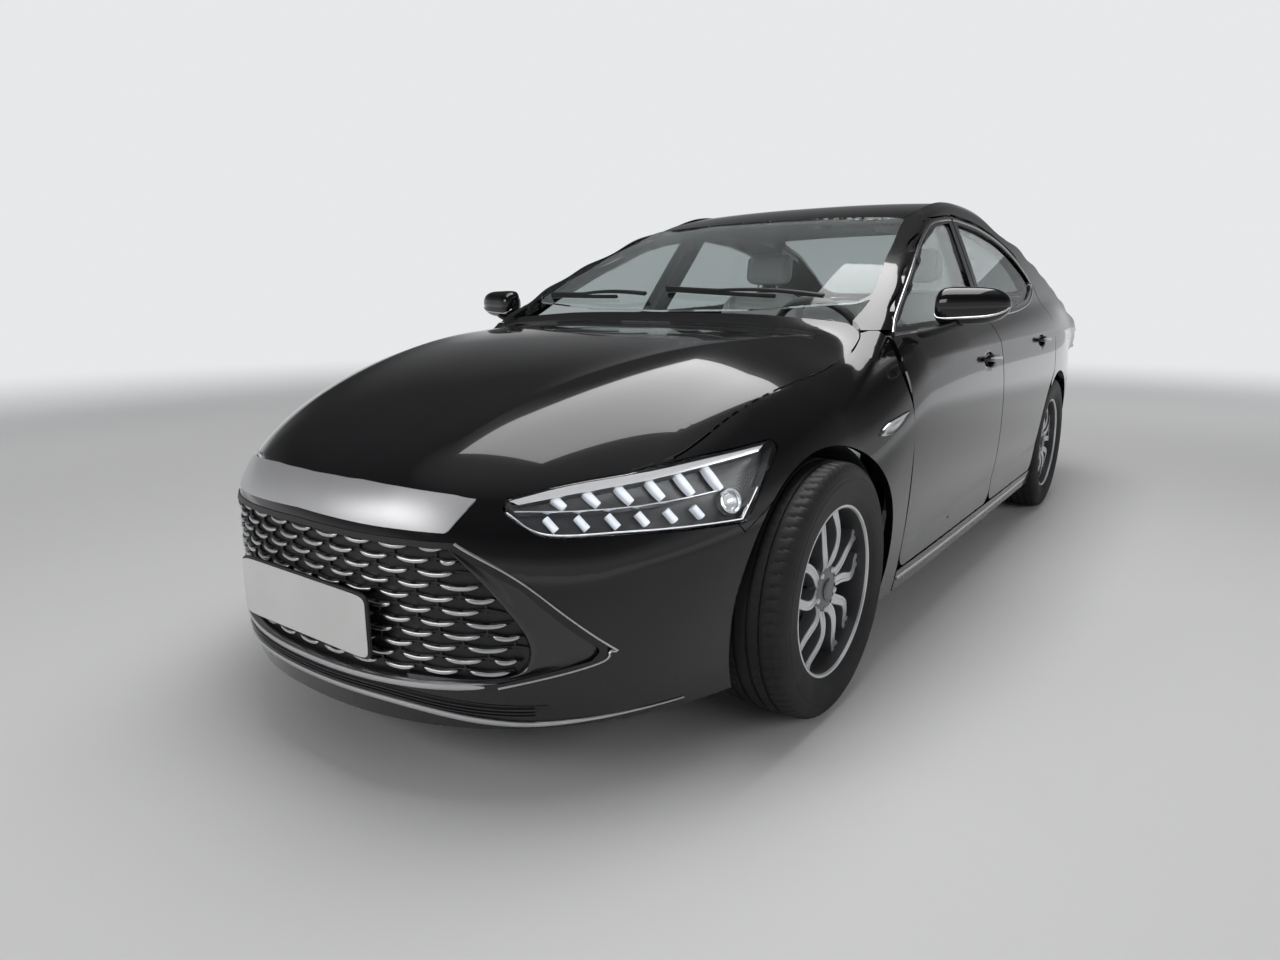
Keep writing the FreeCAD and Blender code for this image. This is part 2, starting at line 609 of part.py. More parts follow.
def up_rays(xs, ys):
    """Upright rays from the waist."""
    return [[(V(x, y, FAN_Z), V(0, 0, 1)) for x in xs] for y in ys]


def top_cut(points, radii, grow, shape):
    """Part of a shape inside an upright outline."""
    return shape.common(top_prism(points, radii, WAIST_Z + 75.0, TOP_Z1, grow))


SCREEN_GROW = PANEL_GAP - SEAT_GAP


windscreen = top_cut(WINDSCREEN, WINDSCREEN_RADII, SCREEN_GROW,
                     slab(greenhouse, up_rays(span(140.0, 980.0, 10), ACROSS), SCREEN_INSET,
                          SCREEN_INSET + SCREEN_THICK))
roof = top_cut(ROOF, ROOF_RADII, 0.0, slab(greenhouse, up_rays(span(-1060.0, 190.0, 12), ACROSS_ROOF), 0.0, ROOF_THICK))
backlight = top_cut(BACKLIGHT, BACKLIGHT_RADII, SCREEN_GROW,
                    slab(greenhouse, up_rays(span(-1835.0, -1000.0, 10), ACROSS_ROOF), SCREEN_INSET,
                         SCREEN_INSET + SCREEN_THICK))
LID_THICK = 30.0
LID_FAN_X, LID_FAN_Z = -1700.0, 640.0
LID_LOW_Z = 712.0
LAMP_LOW_Z, LAMP_HIGH_Z = 800.0, 905.0
LAMP_DEPTH = 42.0
PLATE_HALF = 520.0


def tail_rays(ys, angles):
    """Rays fanned about a line across the car under the boot."""
    return [[(V(LID_FAN_X, y, LID_FAN_Z), V(math.cos(math.radians(a)), 0, math.sin(math.radians(a))))
             for a in angles] for y in ys]


lid_rays = tail_rays([-610, -560, -450, -300, -150, 0, 150, 300, 450, 560, 610],
                     [101, 107, 114, 122, 130, 138, 145, 151, 156, 161, 166, 171, 176, 181])
lid = top_cut(LID_TOP, LID_RADII, 0.0, slab(lower_body, lid_rays, 0.0, LID_THICK))
low_corner = box(-2500.0, -1900.0, PLATE_HALF, 700.0, 600.0, LAMP_LOW_Z - 12.0)
lid = lid.cut(box(-2500.0, -1900.0, -700.0, 700.0, 500.0, LID_LOW_Z)).cut(low_corner).cut(mirrored(low_corner))
LID_LAMP_DEPTH = 18.0
lamp_zone = box(-2500.0, -1850.0, -700.0, 700.0, LAMP_LOW_Z, LAMP_HIGH_Z)
boot_lamp = top_cut(LID_TOP, LID_RADII, 0.0, slab(lower_body, lid_rays, 0.0, LID_LAMP_DEPTH)).common(lamp_zone)
lid = lid.cut(slab(lower_body, lid_rays, -OVERRUN, LID_LAMP_DEPTH).common(lamp_zone))

# Rear quarter, tail lamps and rear bumper
QUARTER_DEPTH = 26.0
QUARTER = [(SEAM_X, FRAME_TOP_Z), (SEAM_X, 1100.0), (-1000.0, 560.0), (-880.0, 400.0), (-884.0, SILL_LOW_Z),
           (-1500.0, SILL_LOW_Z), (-1500.0, 640.0), (-1640.0, 646.0), (-1950.0, 668.0), (-2030.0, 780.0),
           (-2400.0, 785.0), (-2400.0, FRAME_TOP_Z)]
TAIL_LAMP = [(-1972.0, 872.0), (-2050.0, LAMP_HIGH_Z), (-2400.0, LAMP_HIGH_Z), (-2400.0, LAMP_LOW_Z),
             (-2040.0, LAMP_LOW_Z)]
REAR_FAN_X, REAR_FAN_Z = -1640.0, 540.0


def swept_rays(xs, yaws, angles, z0):
    """Fans about a lengthwise line, then about an upright line at its end."""
    rows = []
    for x, yaw in [(x, 0) for x in xs] + [(xs[-1], yaw) for yaw in yaws]:
        back, out = math.sin(math.radians(yaw)), math.cos(math.radians(yaw))
        row = []
        for a in angles:
            ca, sa = math.cos(math.radians(a)), math.sin(math.radians(a))
            row.append((V(x, 0, z0), V(-back * ca, out * ca, sa)))
        rows.append(row)
    return rows


QUARTER_ANGLES = [-26, -18, -10, 0, 8, 15, 20, 24, 28, 32, 35, 38, 41, 45, 50, 57, 65]
quarter_rays = swept_rays(span(-1060.0, REAR_FAN_X, 10), span(7, 56, 8), QUARTER_ANGLES, REAR_FAN_Z)
quarter_skin = slab(skin, quarter_rays, 0.0, QUARTER_DEPTH)
outboard = box(-2500.0, -1000.0, LID_HALF + PANEL_GAP + 1.0, SIDE_OUTER_Y, 0.0, TOP_Z0)
quarter = quarter_skin.common(side_region(QUARTER)).cut(rear_hole).cut(rear_arch(ARCH_RADIUS))
quarter = quarter.cut(backlight_hole).cut(roof_hole).cut(lid_hole)
lamp_rays = swept_rays([REAR_FAN_X], span(16, 58, 9), span(8, 38, 8), REAR_FAN_Z)
tail_lamp = slab(lower_body, lamp_rays, 0.0, LAMP_DEPTH)
tail_lamp = tail_lamp.common(side_region(TAIL_LAMP)).common(outboard)
quarter = quarter.cut(side_prism(TAIL_LAMP, 0.1, 0.0, SIDE_OUTER_Y, SEAT_GAP))

BUMPER_DEPTH = 24.0
BUMPER_LOW_Z = 172.0
BUMPER_FAN_X = 1200.0
FASCIA_ANGLES = [-72, -62, -52, -43, -34, -25, -16, -8, 0, 8, 16, 25, 34, 43, 52, 62, 72]
REAR_BUMPER = [(-1500.0, BUMPER_LOW_Z), (-1500.0, 637.0), (-1642.0, 643.0), (-1948.0, 665.0), (-2028.0, 777.0),
               (-2500.0, 782.0), (-2500.0, BUMPER_LOW_Z)]
rear_bumper = slab(lower_body, plan_rays(-BUMPER_FAN_X, [180 + a for a in FASCIA_ANGLES],
                                         [160, 220, 300, 400, 500, 600, 680, 740, 800]), 0.0, BUMPER_DEPTH)
rear_bumper = rear_bumper.common(side_prism(REAR_BUMPER, 0.1, -SIDE_OUTER_Y, SIDE_OUTER_Y))
plate_zone = box(-2500.0, -1900.0, -PLATE_HALF - 6.0, PLATE_HALF + 6.0, LID_LOW_Z - 6.0, 900.0)
rear_bumper = rear_bumper.cut(plate_zone)
for arch in (rear_arch(ARCH_RADIUS), mirrored(rear_arch(ARCH_RADIUS))):
    rear_bumper = rear_bumper.cut(arch)

# Front bumper, grille, bright bar and headlamps

def across(points):
    """Outline of (y, z) points from the left half and its mirror."""
    right = [(-y, z) for y, z in reversed(points) if y > 0]
    return points + right


BAR_OUTLINE = across([(0.0, 616.0), (300.0, 608.0), (394.0, 604.0), (424.0, 668.0), (418.0, 672.0), (264.0, 686.0),
                      (0.0, 696.0)])
BUMPER_TOP = [(0.0, 640.0), (396.0, 636.0), (412.0, 660.0), (428.0, 676.0), (466.0, 668.0),
              (700.0, 668.0), (940.0, 668.0), (940.0, BUMPER_LOW_Z), (0.0, BUMPER_LOW_Z)]
GRILLE_HALF = [(0.0, 596.0), (300.0, 590.0), (412.0, 586.0), (540.0, 500.0), (663.0, 352.0), (640.0, 316.0),
               (485.0, 270.0), (300.0, 262.0), (0.0, 262.0)]
GRILLE = across(GRILLE_HALF)
GRILLE_CORNER = 30.0
fascia_rays = plan_rays(BUMPER_FAN_X, FASCIA_ANGLES, [158, 200, 260, 330, 410, 490, 560, 610, 650, 684])
front_bumper = slab(lower_body, fascia_rays, 0.0, BUMPER_DEPTH)
bumper_outline = [(-y, z) for y, z in reversed(BUMPER_TOP) if y > 0]
front_bumper = front_bumper.common(front_prism(BUMPER_TOP[:-1] + bumper_outline, 0.1, 1300.0, 2500.0))
grille_hole = front_prism(GRILLE, GRILLE_CORNER, 1700.0, 2500.0)
bar_hole = front_prism(BAR_OUTLINE, 6.0, 1700.0, 2500.0, SEAT_GAP)
front_bumper = front_bumper.cut(grille_hole).cut(bonnet_hole).cut(bar_hole)
fender_hole = side_prism(FENDER, 0.1, 0.0, SIDE_OUTER_Y, 3.0)
for part in (lamp_hole, front_arch(ARCH_RADIUS), fender_hole):
    front_bumper = front_bumper.cut(part).cut(mirrored(part))
grille_rays = plan_rays(BUMPER_FAN_X, [-36, -27, -18, -9, 0, 9, 18, 27, 36], [230, 300, 380, 460, 540, 600, 640])
grille_back = slab(lower_body, grille_rays, 22.0, 34.0)
grille_back = grille_back.common(front_prism(GRILLE, GRILLE_CORNER, 1700.0, 2500.0, 10.0))
FRAME_WIDTH = 13.0
grille_frame = slab(lower_body, grille_rays, -3.0, 30.0)
grille_frame = grille_frame.common(front_prism(GRILLE, GRILLE_CORNER, 1700.0, 2500.0, -0.5))
grille_frame = grille_frame.cut(front_prism(GRILLE, GRILLE_CORNER, 1700.0, 2500.0, -FRAME_WIDTH))

# Grille dashes: short smile-shaped bars in staggered rows, each row half a pitch beside the last
DASH_LONG, DASH_HIGH, DASH_SAG = 68.0, 11.0, 6.0
DASH_PITCH, ROW_PITCH = 94.0, 27.0
DASH_BEND_RADIUS = 90.0
DASH_SHORTEST = 22.0
GRILLE_X0, GRILLE_X1 = 1700.0, 2500.0
DASH_DEPTH, BACK_DEPTH = 9.0, 22.0
FIELD_LOW_Z, FIELD_HIGH_Z = 300.0, 574.0
FIELD_EDGE = [(575.0, 385.0), (478.0, 478.0), (362.0, 536.0), (300.0, 505.0)]


def field_half(z):
    """Half width of the dashes' field at a height."""
    for (z1, y1), (z0, y0) in zip(FIELD_EDGE, FIELD_EDGE[1:]):
        if z0 <= z <= z1:
            return y0 + (y1 - y0) * (z - z0) / (z1 - z0)
    return FIELD_EDGE[-1][1]


def dash_outline(y0, y1, z):
    """Upright prism of one dash: two points up at its ends, and a sagging middle."""
    c = (y0 + y1) / 2
    points = [(y0, z + DASH_SAG), (c, z + DASH_HIGH / 2), (y1, z + DASH_SAG), (c, z - DASH_HIGH / 2)]
    return front_prism(points, [0, DASH_BEND_RADIUS, 0, DASH_BEND_RADIUS], GRILLE_X0, GRILLE_X1)


dashes = []
row_z, row = FIELD_LOW_Z, 0
while row_z <= FIELD_HIGH_Z:
    half_field = field_half(row_z)
    steps = int(half_field / DASH_PITCH) + 1
    for k in range(-steps - 1, steps + 1):
        middle = (k + 0.5 * (row % 2)) * DASH_PITCH
        y0 = max(middle - DASH_LONG / 2, -half_field)
        y1 = min(middle + DASH_LONG / 2, half_field)
        if y1 - y0 > DASH_SHORTEST:
            dashes.append(dash_outline(y0, y1, row_z))
    row_z += ROW_PITCH
    row += 1
dash_sheet = slab(lower_body, grille_rays, DASH_DEPTH, BACK_DEPTH + PANEL_GAP / 2)
dash_bars = dash_sheet.common(dashes)
grille = grille_back.cut(front_bumper).fuse([grille_frame] + dash_bars.Solids)
bar_rays = plan_rays(BUMPER_FAN_X, [-27, -20, -13, -6, 0, 6, 13, 20, 27], [590, 610, 630, 650, 670, 686, 700])
grille_bar = slab(lower_body, bar_rays, -4.0, 20.0)
grille_bar = grille_bar.common(front_prism(BAR_OUTLINE, 6.0, 1700.0, 2500.0)).cut(bonnet_hole)
HEADLAMP_DEPTH = 46.0


def aimed_rays(start, azimuths, heights):
    """Rays from one point, by azimuth and by elevation."""
    rows = []
    for a in azimuths:
        row = []
        for e in heights:
            ca, sa = math.cos(math.radians(a)), math.sin(math.radians(a))
            ce, se = math.cos(math.radians(e)), math.sin(math.radians(e))
            row.append((start, V(ca * ce, sa * ce, se)))
        rows.append(row)
    return rows


headlamp = slab(lower_body, aimed_rays(V(1450.0, 200.0, 540.0), span(12, 84, 10), span(-2, 24, 8)), 0.0,
                HEADLAMP_DEPTH)
headlamp = headlamp.common(lamp_prism()).cut(bonnet_hole)

# Floor, bulkhead, front carrier, engine and axles
FLOOR_LOW_Z, FLOOR_HIGH_Z = 190.0, 214.0
FLOOR_HALF = 770.0
INNER_ARCH_Y = 560.0
BOOT_FLOOR_Z = 420.0
floor = box(-870.0, 960.0, -FLOOR_HALF, FLOOR_HALF, FLOOR_LOW_Z, FLOOR_HIGH_Z).fuse(
    box(950.0, 1040.0, -680.0, 680.0, FLOOR_LOW_Z, FLOOR_HIGH_Z))
tunnel = box(-870.0, 1040.0, -120.0, 120.0, FLOOR_LOW_Z, 330.0).cut(
    box(-900.0, 1100.0, -100.0, 100.0, 0.0, 310.0))
floor = floor.cut(box(-900.0, 1100.0, -100.0, 100.0, 0.0, 310.0)).fuse(tunnel)
heel = box(-894.0, -870.0, -INNER_ARCH_Y, INNER_ARCH_Y, FLOOR_LOW_Z, BOOT_FLOOR_Z + 24.0)
boot_end = [(hit(lower_body, V(0, y, BOOT_FLOOR_Z), V(-1, 0, 0)).x + BUMPER_DEPTH / 2, y) for y in (300.0, 150.0, 0.0)]
boot_edge = both_sides([(-870.0, INNER_ARCH_Y), (-2060.0, INNER_ARCH_Y)] + boot_end)
boot_floor = top_prism(boot_edge, 0.1, BOOT_FLOOR_Z, BOOT_FLOOR_Z + 24.0).cut(rear_bumper)
floor = floor.fuse([heel, boot_floor])
LINER_THICK = 8.0
LINER_REACH = ARCH_RADIUS + 30.0
LINER_LOW_Z, LINER_HIGH_Z = 300.0, 720.0


def liner(x, y0):
    """Half-round wheel arch liner with its inner wall."""
    shell = tube(x, y0, SIDE_OUTER_Y, TYRE_RADIUS, ARCH_RADIUS + LINER_THICK, ARCH_RADIUS)
    limit = []
    for px in span(x - LINER_REACH, x + LINER_REACH, 9):
        skin_y = min(hit(lower_body, V(px, 0, z), V(0, 1, 0)).y for z in span(LINER_LOW_Z, LINER_HIGH_Z, 5))
        limit.append((px, skin_y - POST_LOW_END / 4))
    shell = shell.common(top_prism([(x - LINER_REACH, 0.0)] + limit + [(x + LINER_REACH, 0.0)], 0.1, -100.0, BELT_Z))
    wall = tube(x, y0, y0 + LINER_THICK, TYRE_RADIUS, ARCH_RADIUS + LINER_THICK, 200.0)
    return shell.fuse(wall).cut(box(x - 600.0, x + 600.0, 0.0, SIDE_OUTER_Y, -100.0, TYRE_RADIUS - 60.0))


FRONT_LINER_Y = 500.0
front_liner = liner(FRONT_AXLE_X, FRONT_LINER_Y)
rear_liner = liner(REAR_AXLE_X, INNER_ARCH_Y)
liners = Part.makeCompound([front_liner, mirrored(front_liner), rear_liner, mirrored(rear_liner)])
bulkhead = box(1040.0, 1060.0, -500.0, 500.0, FLOOR_LOW_Z, 930.0)
cowl = box(870.0, 1060.0, -690.0, 690.0, 912.0, 930.0)
floor = floor.cut(sill).cut(mirrored(sill)).fuse([bulkhead, cowl])
engine = box(1330.0, 1900.0, -380.0, 330.0, 300.0, 800.0)
FRONT_BEAM_X = 2150.0
beam = box(FRONT_BEAM_X, FRONT_BEAM_X + 60.0, -480.0, 480.0, 420.0, 540.0)
radiator = box(2060.0, 2110.0, -380.0, 380.0, 220.0, 620.0)
rail_left = box(1060.0, FRONT_BEAM_X, 400.0, 470.0, 440.0, 520.0)
top_tie = box(2060.0, 2110.0, -460.0, 460.0, 600.0, 625.0)
front_frame = beam.fuse([radiator, rail_left, mirrored(rail_left), top_tie,
                         box(2060.0, FRONT_BEAM_X, 380.0, 460.0, 440.0, 625.0),
                         box(2060.0, FRONT_BEAM_X, -460.0, -380.0, 440.0, 625.0),
                         box(1500.0, 1600.0, 330.0 + SEAT_GAP, 400.0, 450.0, 510.0),
                         box(1500.0, 1600.0, -400.0, -380.0 - SEAT_GAP, 450.0, 510.0)])
subframe = box(1300.0, 1560.0, -440.0, 440.0, 180.0, 240.0).fuse(
    [box(1330.0, 1400.0, 404.0, 440.0, 230.0, 440.0), box(1330.0, 1400.0, -440.0, -404.0, 230.0, 440.0)])
KINGPIN_Y = 745.0
KINGPIN_Z = 225.0
ARM_LOW_Z, ARM_HIGH_Z = 186.0, 213.0
arm = box(1405.0, 1495.0, 380.0, KINGPIN_Y, ARM_LOW_Z, ARM_HIGH_Z).fuse(
    [Part.makeCylinder(30.0, ARM_HIGH_Z - ARM_LOW_Z, V(FRONT_AXLE_X, KINGPIN_Y, ARM_LOW_Z)),
     Part.makeCylinder(13.0, KINGPIN_Z - ARM_LOW_Z, V(FRONT_AXLE_X, KINGPIN_Y, ARM_LOW_Z))])
front_frame = front_frame.fuse([subframe, arm, mirrored(arm)])
HUB_RADIUS = 62.0
DISC_RADIUS = 140.0
HUB_FACE_Y = 835.0
DISC_IN_Y, DISC_OUT_Y = 802.0, 826.0
TRAIL_IN_Y, TRAIL_OUT_Y = 590.0, 640.0
BEAM_X, BEAM_Z = REAR_AXLE_X + 120.0, 290.0
axle_beam = tube(BEAM_X, -600.0, 600.0, BEAM_Z, 42.0)
trailing = box(REAR_AXLE_X - 60.0, -870.0, TRAIL_IN_Y, TRAIL_OUT_Y, 200.0, 262.0)
carrier = box(REAR_AXLE_X - 62.0, BEAM_X + 48.0, TRAIL_IN_Y, TRAIL_OUT_Y, 230.0, 400.0)
rear_hub = tube(REAR_AXLE_X, 600.0, HUB_FACE_Y, TYRE_RADIUS, HUB_RADIUS).fuse(
    [tube(REAR_AXLE_X, DISC_IN_Y, DISC_OUT_Y, TYRE_RADIUS, DISC_RADIUS), trailing, carrier])
rear_axle = axle_beam.fuse([rear_hub, mirrored(rear_hub)])
STRUT_Y = 650.0
UPRIGHT_LOW_Z, UPRIGHT_HIGH_Z = KINGPIN_Z + SEAT_GAP, 524.0
knuckle = tube(FRONT_AXLE_X, 715.0, HUB_FACE_Y, TYRE_RADIUS, HUB_RADIUS).fuse(
    [tube(FRONT_AXLE_X, DISC_IN_Y, DISC_OUT_Y, TYRE_RADIUS, DISC_RADIUS),
     box(FRONT_AXLE_X - 40.0, FRONT_AXLE_X + 40.0, 715.0, 775.0, UPRIGHT_LOW_Z, UPRIGHT_HIGH_Z),
     box(FRONT_AXLE_X - 26.0, FRONT_AXLE_X + 26.0, STRUT_Y, 716.0, 400.0, 500.0),
     Part.makeCylinder(24.0, 300.0, V(FRONT_AXLE_X, STRUT_Y, 392.0))])

# Wheels
RIM_WIDTH = 190.0
SPOKES = 5
TREAD_HALF, WALL_HALF = 86.0, TYRE_WIDTH / 2
WHEEL_OUT_Y = WHEEL_Y + TYRE_WIDTH / 2


def turned(points, x):
    """Ring turned about the axle from (radius, y) points."""
    wire = Part.makePolygon([V(x, y, TYRE_RADIUS + r) for r, y in points + points[:1]])
    return Part.Face(wire).revolve(V(x, 0, TYRE_RADIUS), V(0, 1, 0), 360)


def tyre(x):
    """Plain tyre, with flat tread and leaning walls."""
    return turned([(RIM_RADIUS, WHEEL_Y - RIM_WIDTH / 2), (RIM_RADIUS + 62.0, WHEEL_Y - WALL_HALF),
                   (TYRE_RADIUS, WHEEL_Y - TREAD_HALF), (TYRE_RADIUS, WHEEL_Y + TREAD_HALF),
                   (RIM_RADIUS + 62.0, WHEEL_Y + WALL_HALF), (RIM_RADIUS, WHEEL_Y + RIM_WIDTH / 2)], x)


HUB_DISC_RADIUS = 78.0
RIM_WALL = 9.0
SPOKE_OUT_Y = WHEEL_Y + 82.0


def rim(x):
    """Alloy wheel: barrel, hub disc and five pairs of spokes."""
    barrel = turned([(RIM_RADIUS, WHEEL_Y - RIM_WIDTH / 2), (RIM_RADIUS, WHEEL_Y + RIM_WIDTH / 2),
                     (RIM_RADIUS - RIM_WALL, WHEEL_Y + RIM_WIDTH / 2),
                     (RIM_RADIUS - RIM_WALL, WHEEL_Y - RIM_WIDTH / 2)], x)
    hub = tube(x, HUB_FACE_Y, SPOKE_OUT_Y - 8.0, TYRE_RADIUS, HUB_DISC_RADIUS)
    parts = [hub]
    face_disc = tube(x, 0.0, SIDE_OUTER_Y, TYRE_RADIUS, RIM_RADIUS - RIM_WALL / 2)
    for i in range(SPOKES):
        for lean in (-1, 1):
            root = V(x + lean * 14.0, 0, 40.0 + TYRE_RADIUS)
            tip = V(x + lean * 52.0, 0, RIM_RADIUS - 4.0 + TYRE_RADIUS)
            half = V(13.0, 0, 0)
            face = Part.Face(Part.makePolygon([root - half, root + half, tip + half, tip - half, root - half]))
            face.translate(V(0, SPOKE_OUT_Y - 34.0, 0))
            bar = face.extrude(V(0, 30.0, 0))
            parts.append(swung(bar.common(face_disc), 360 * i / SPOKES, V(x, 0, TYRE_RADIUS), V(0, 1, 0)))
    return barrel.fuse(parts)


# Cabin: seats, dashboard and steering wheel
SEAT_Y = 370.0
SEAT_WIDTH = 500.0


def seat(points, y, width, corner):
    """Cushion or back of a given side outline."""
    return side_prism(points, corner, y - width / 2, y + width / 2)


def front_seat(y):
    """One front seat."""
    base = seat([(-330.0, 250.0), (170.0, 250.0), (190.0, 470.0), (-330.0, 440.0)], y, SEAT_WIDTH, 40.0)
    back = seat([(-330.0, 400.0), (-230.0, 440.0), (-470.0, 1110.0), (-560.0, 1090.0)], y, SEAT_WIDTH - 40.0, 35.0)
    head = seat([(-575.0, 1130.0), (-485.0, 1130.0), (-510.0, 1290.0), (-590.0, 1280.0)], y, 250.0, 30.0)
    post = box(-540.0, -515.0, y - 60.0, y + 60.0, 1080.0, 1150.0)
    foot = box(-280.0, 120.0, y - 180.0, y + 180.0, FLOOR_HIGH_Z, 260.0)
    return base.fuse([back, head, post, foot])


front_seats = Part.makeCompound([front_seat(SEAT_Y), front_seat(-SEAT_Y)])
rear_bench = seat([(-1230.0, BOOT_FLOOR_Z + 24.0), (-700.0, 330.0), (-690.0, 490.0), (-1230.0, 470.0)], 0.0, 1100.0,
                  30.0)
rear_bench = rear_bench.cut(box(-1400.0, -868.0, -600.0, 600.0, 0.0, BOOT_FLOOR_Z + 24.0))
rear_bench = rear_bench.fuse(seat([(-1120.0, 450.0), (-1010.0, 470.0), (-1220.0, 1060.0), (-1320.0, 1050.0)], 0.0,
                                  1080.0, 35.0))
plinth = box(-860.0, -720.0, -500.0, 500.0, FLOOR_HIGH_Z, 350.0).cut(
    box(-900.0, -700.0, -121.0, 121.0, 0.0, 331.0))
rear_bench = rear_bench.fuse(plinth)
SHELF_Z, SHELF_THICK = 1030.0, 16.0
shelf_edge = [(x, hit(skin, V(x, 0, SHELF_Z), V(0, 1, 0)).y - QUARTER_DEPTH / 2) for x in span(-1340.0, -1800.0, 6)]
shelf = top_prism(shelf_edge + [(x, -y) for x, y in reversed(shelf_edge)], 0.1, SHELF_Z, SHELF_Z + SHELF_THICK)
shelf = shelf.cut(quarter).cut(mirrored(quarter))
dash = side_prism([(1030.0, 700.0), (1030.0, 905.0), (860.0, 960.0), (640.0, 930.0), (600.0, 840.0), (680.0, 700.0)],
                  40.0, -665.0, 665.0)
console = box(60.0, 720.0, -110.0, 110.0, 330.0, 560.0)
riser = box(640.0, 800.0, -110.0, 110.0, 500.0, 760.0)
dash = dash.cut(box(850.0, 1080.0, -700.0, 700.0, 906.0, 935.0)).fuse([console, riser])
WHEEL_CENTRE = V(480.0, SEAT_Y, 900.0)
COLUMN_TILT = 24.0
column_way = V(math.cos(math.radians(COLUMN_TILT)), 0, -math.sin(math.radians(COLUMN_TILT)))
steering_wheel = Part.makeTorus(175.0, 15.0, WHEEL_CENTRE, column_way)
steering_hub = Part.makeCylinder(55.0, 40.0, WHEEL_CENTRE - column_way * 10.0, column_way)
bar = Part.makeBox(24.0, 350.0, 16.0, V(-12.0, -175.0, -8.0))
bar.rotate(V(0, 0, 0), V(0, 1, 0), 90 + COLUMN_TILT)
bar.translate(WHEEL_CENTRE)
spoke_low = Part.makeBox(175.0, 30.0, 16.0, V(0.0, -15.0, -8.0))
spoke_low.rotate(V(0, 0, 0), V(0, 1, 0), 90 + COLUMN_TILT)
spoke_low.translate(WHEEL_CENTRE)
steering_wheel = steering_wheel.fuse([steering_hub, bar, spoke_low])
column = Part.makeCylinder(30.0, 180.0, WHEEL_CENTRE + column_way * 31.0, column_way)
dash = dash.fuse(column)

# Door mirrors
MIRROR_X, MIRROR_Y, MIRROR_Z = 760.0, 985.0, 1035.0


def mirror_body():
    """Mirror head on a foot from the door."""
    head = side_prism([(MIRROR_X - 60.0, MIRROR_Z - 65.0), (MIRROR_X + 60.0, MIRROR_Z - 45.0),
                       (MIRROR_X + 50.0, MIRROR_Z + 45.0), (MIRROR_X - 60.0, MIRROR_Z + 75.0)], 35.0,
                      MIRROR_Y - 110.0, MIRROR_Y + 105.0)
    foot = box(MIRROR_X - 30.0, MIRROR_X + 40.0, 800.0, MIRROR_Y - 60.0, MIRROR_Z - 80.0, MIRROR_Z - 45.0)
    return head.fuse(foot).cut(side_shell)


keep("windscreen", windscreen)
keep("roof_panel", roof)
keep("rear_window", backlight)
keep("boot_lid", lid)
keep("boot_lamp", boot_lamp)
keep_pair("body_side", Part.makeCompound([side_frame, quarter]))
keep("tail_lamps", Part.makeCompound([tail_lamp, mirrored(tail_lamp)]))
keep("rear_bumper", rear_bumper)
keep("front_bumper", front_bumper)
keep("grille", grille)
keep("grille_bar", grille_bar)
keep("headlamps", Part.makeCompound([headlamp, mirrored(headlamp)]))
keep("floor_pan", floor)
keep("wheel_arch_liners", liners)
keep("engine_block", engine)
keep("front_carrier", front_frame)
keep("rear_axle", rear_axle)
keep_pair("knuckle", knuckle)
for place, x in (("front", FRONT_AXLE_X), ("rear", REAR_AXLE_X)):
    keep_pair("tyre_" + place, tyre(x))
    keep_pair("rim_" + place, rim(x))
keep("front_seats", front_seats)
keep("rear_bench", rear_bench)
keep("parcel_shelf", shelf)
keep("dashboard", dash)
keep("steering_wheel", steering_wheel)
keep_pair("mirror", mirror_body())

for name, shape in nodes.items():
    shape.exportStep("parts/" + name + ".step")
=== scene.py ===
"""A black four-door saloon car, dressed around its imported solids.

Everything is in metres: +X is the front of the car, +Y its left side and +Z up, from the ground under its middle.
"""

import bpy
import bmesh
import numpy as np
from mathutils import Matrix


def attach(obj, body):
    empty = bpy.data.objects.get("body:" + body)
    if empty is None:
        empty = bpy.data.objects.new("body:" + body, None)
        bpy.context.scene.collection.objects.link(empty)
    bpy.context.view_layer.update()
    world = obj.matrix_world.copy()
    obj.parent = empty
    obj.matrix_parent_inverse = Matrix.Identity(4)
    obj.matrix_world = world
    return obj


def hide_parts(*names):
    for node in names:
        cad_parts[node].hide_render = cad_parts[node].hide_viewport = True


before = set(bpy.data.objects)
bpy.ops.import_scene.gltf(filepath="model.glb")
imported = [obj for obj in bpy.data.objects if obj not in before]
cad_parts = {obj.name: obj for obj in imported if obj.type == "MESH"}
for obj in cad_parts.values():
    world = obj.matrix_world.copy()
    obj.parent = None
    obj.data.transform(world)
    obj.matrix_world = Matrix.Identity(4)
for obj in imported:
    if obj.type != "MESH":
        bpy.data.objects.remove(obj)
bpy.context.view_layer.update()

# --- Studio -------------------------------------------------------------------------------------
# A pale floor that fades into a pale backdrop, under soft lamps. The camera stands ahead of the
# left front wheel at about chest height, with a wide lens.
CAMERA_PLACE = (3.3419, 1.6494, 1.0675)
CAMERA_RIGHT = (-0.59095, 0.80671, -0.00185)
CAMERA_UP = (-0.17649, -0.12705, 0.97607)
CAMERA_BACK = (0.78717, 0.57713, 0.21745)
FOCAL_PIXELS, PHOTO_WIDTH, SENSOR, FAR_CLIP = 816.93, 1280, 36.0, 200.0
FLOOR_HALF = 60.0
FADE_START, FADE_END = 3.0, 13.0
FLOOR_GREY = 0.62
BACKDROP = (0.80, 0.81, 0.82, 1)

camera = bpy.data.objects.new("camera", bpy.data.cameras.new("camera"))
bpy.context.scene.collection.objects.link(camera)
axes = np.array([CAMERA_RIGHT, CAMERA_UP, CAMERA_BACK]).T
camera.matrix_world = Matrix([[*axes[row], CAMERA_PLACE[row]] for row in range(3)] + [[0, 0, 0, 1]])
camera.data.sensor_width = SENSOR
camera.data.lens = FOCAL_PIXELS * SENSOR / PHOTO_WIDTH
camera.data.clip_end = FAR_CLIP
bpy.context.scene.camera = camera
bpy.context.scene.view_settings.view_transform = "Standard"


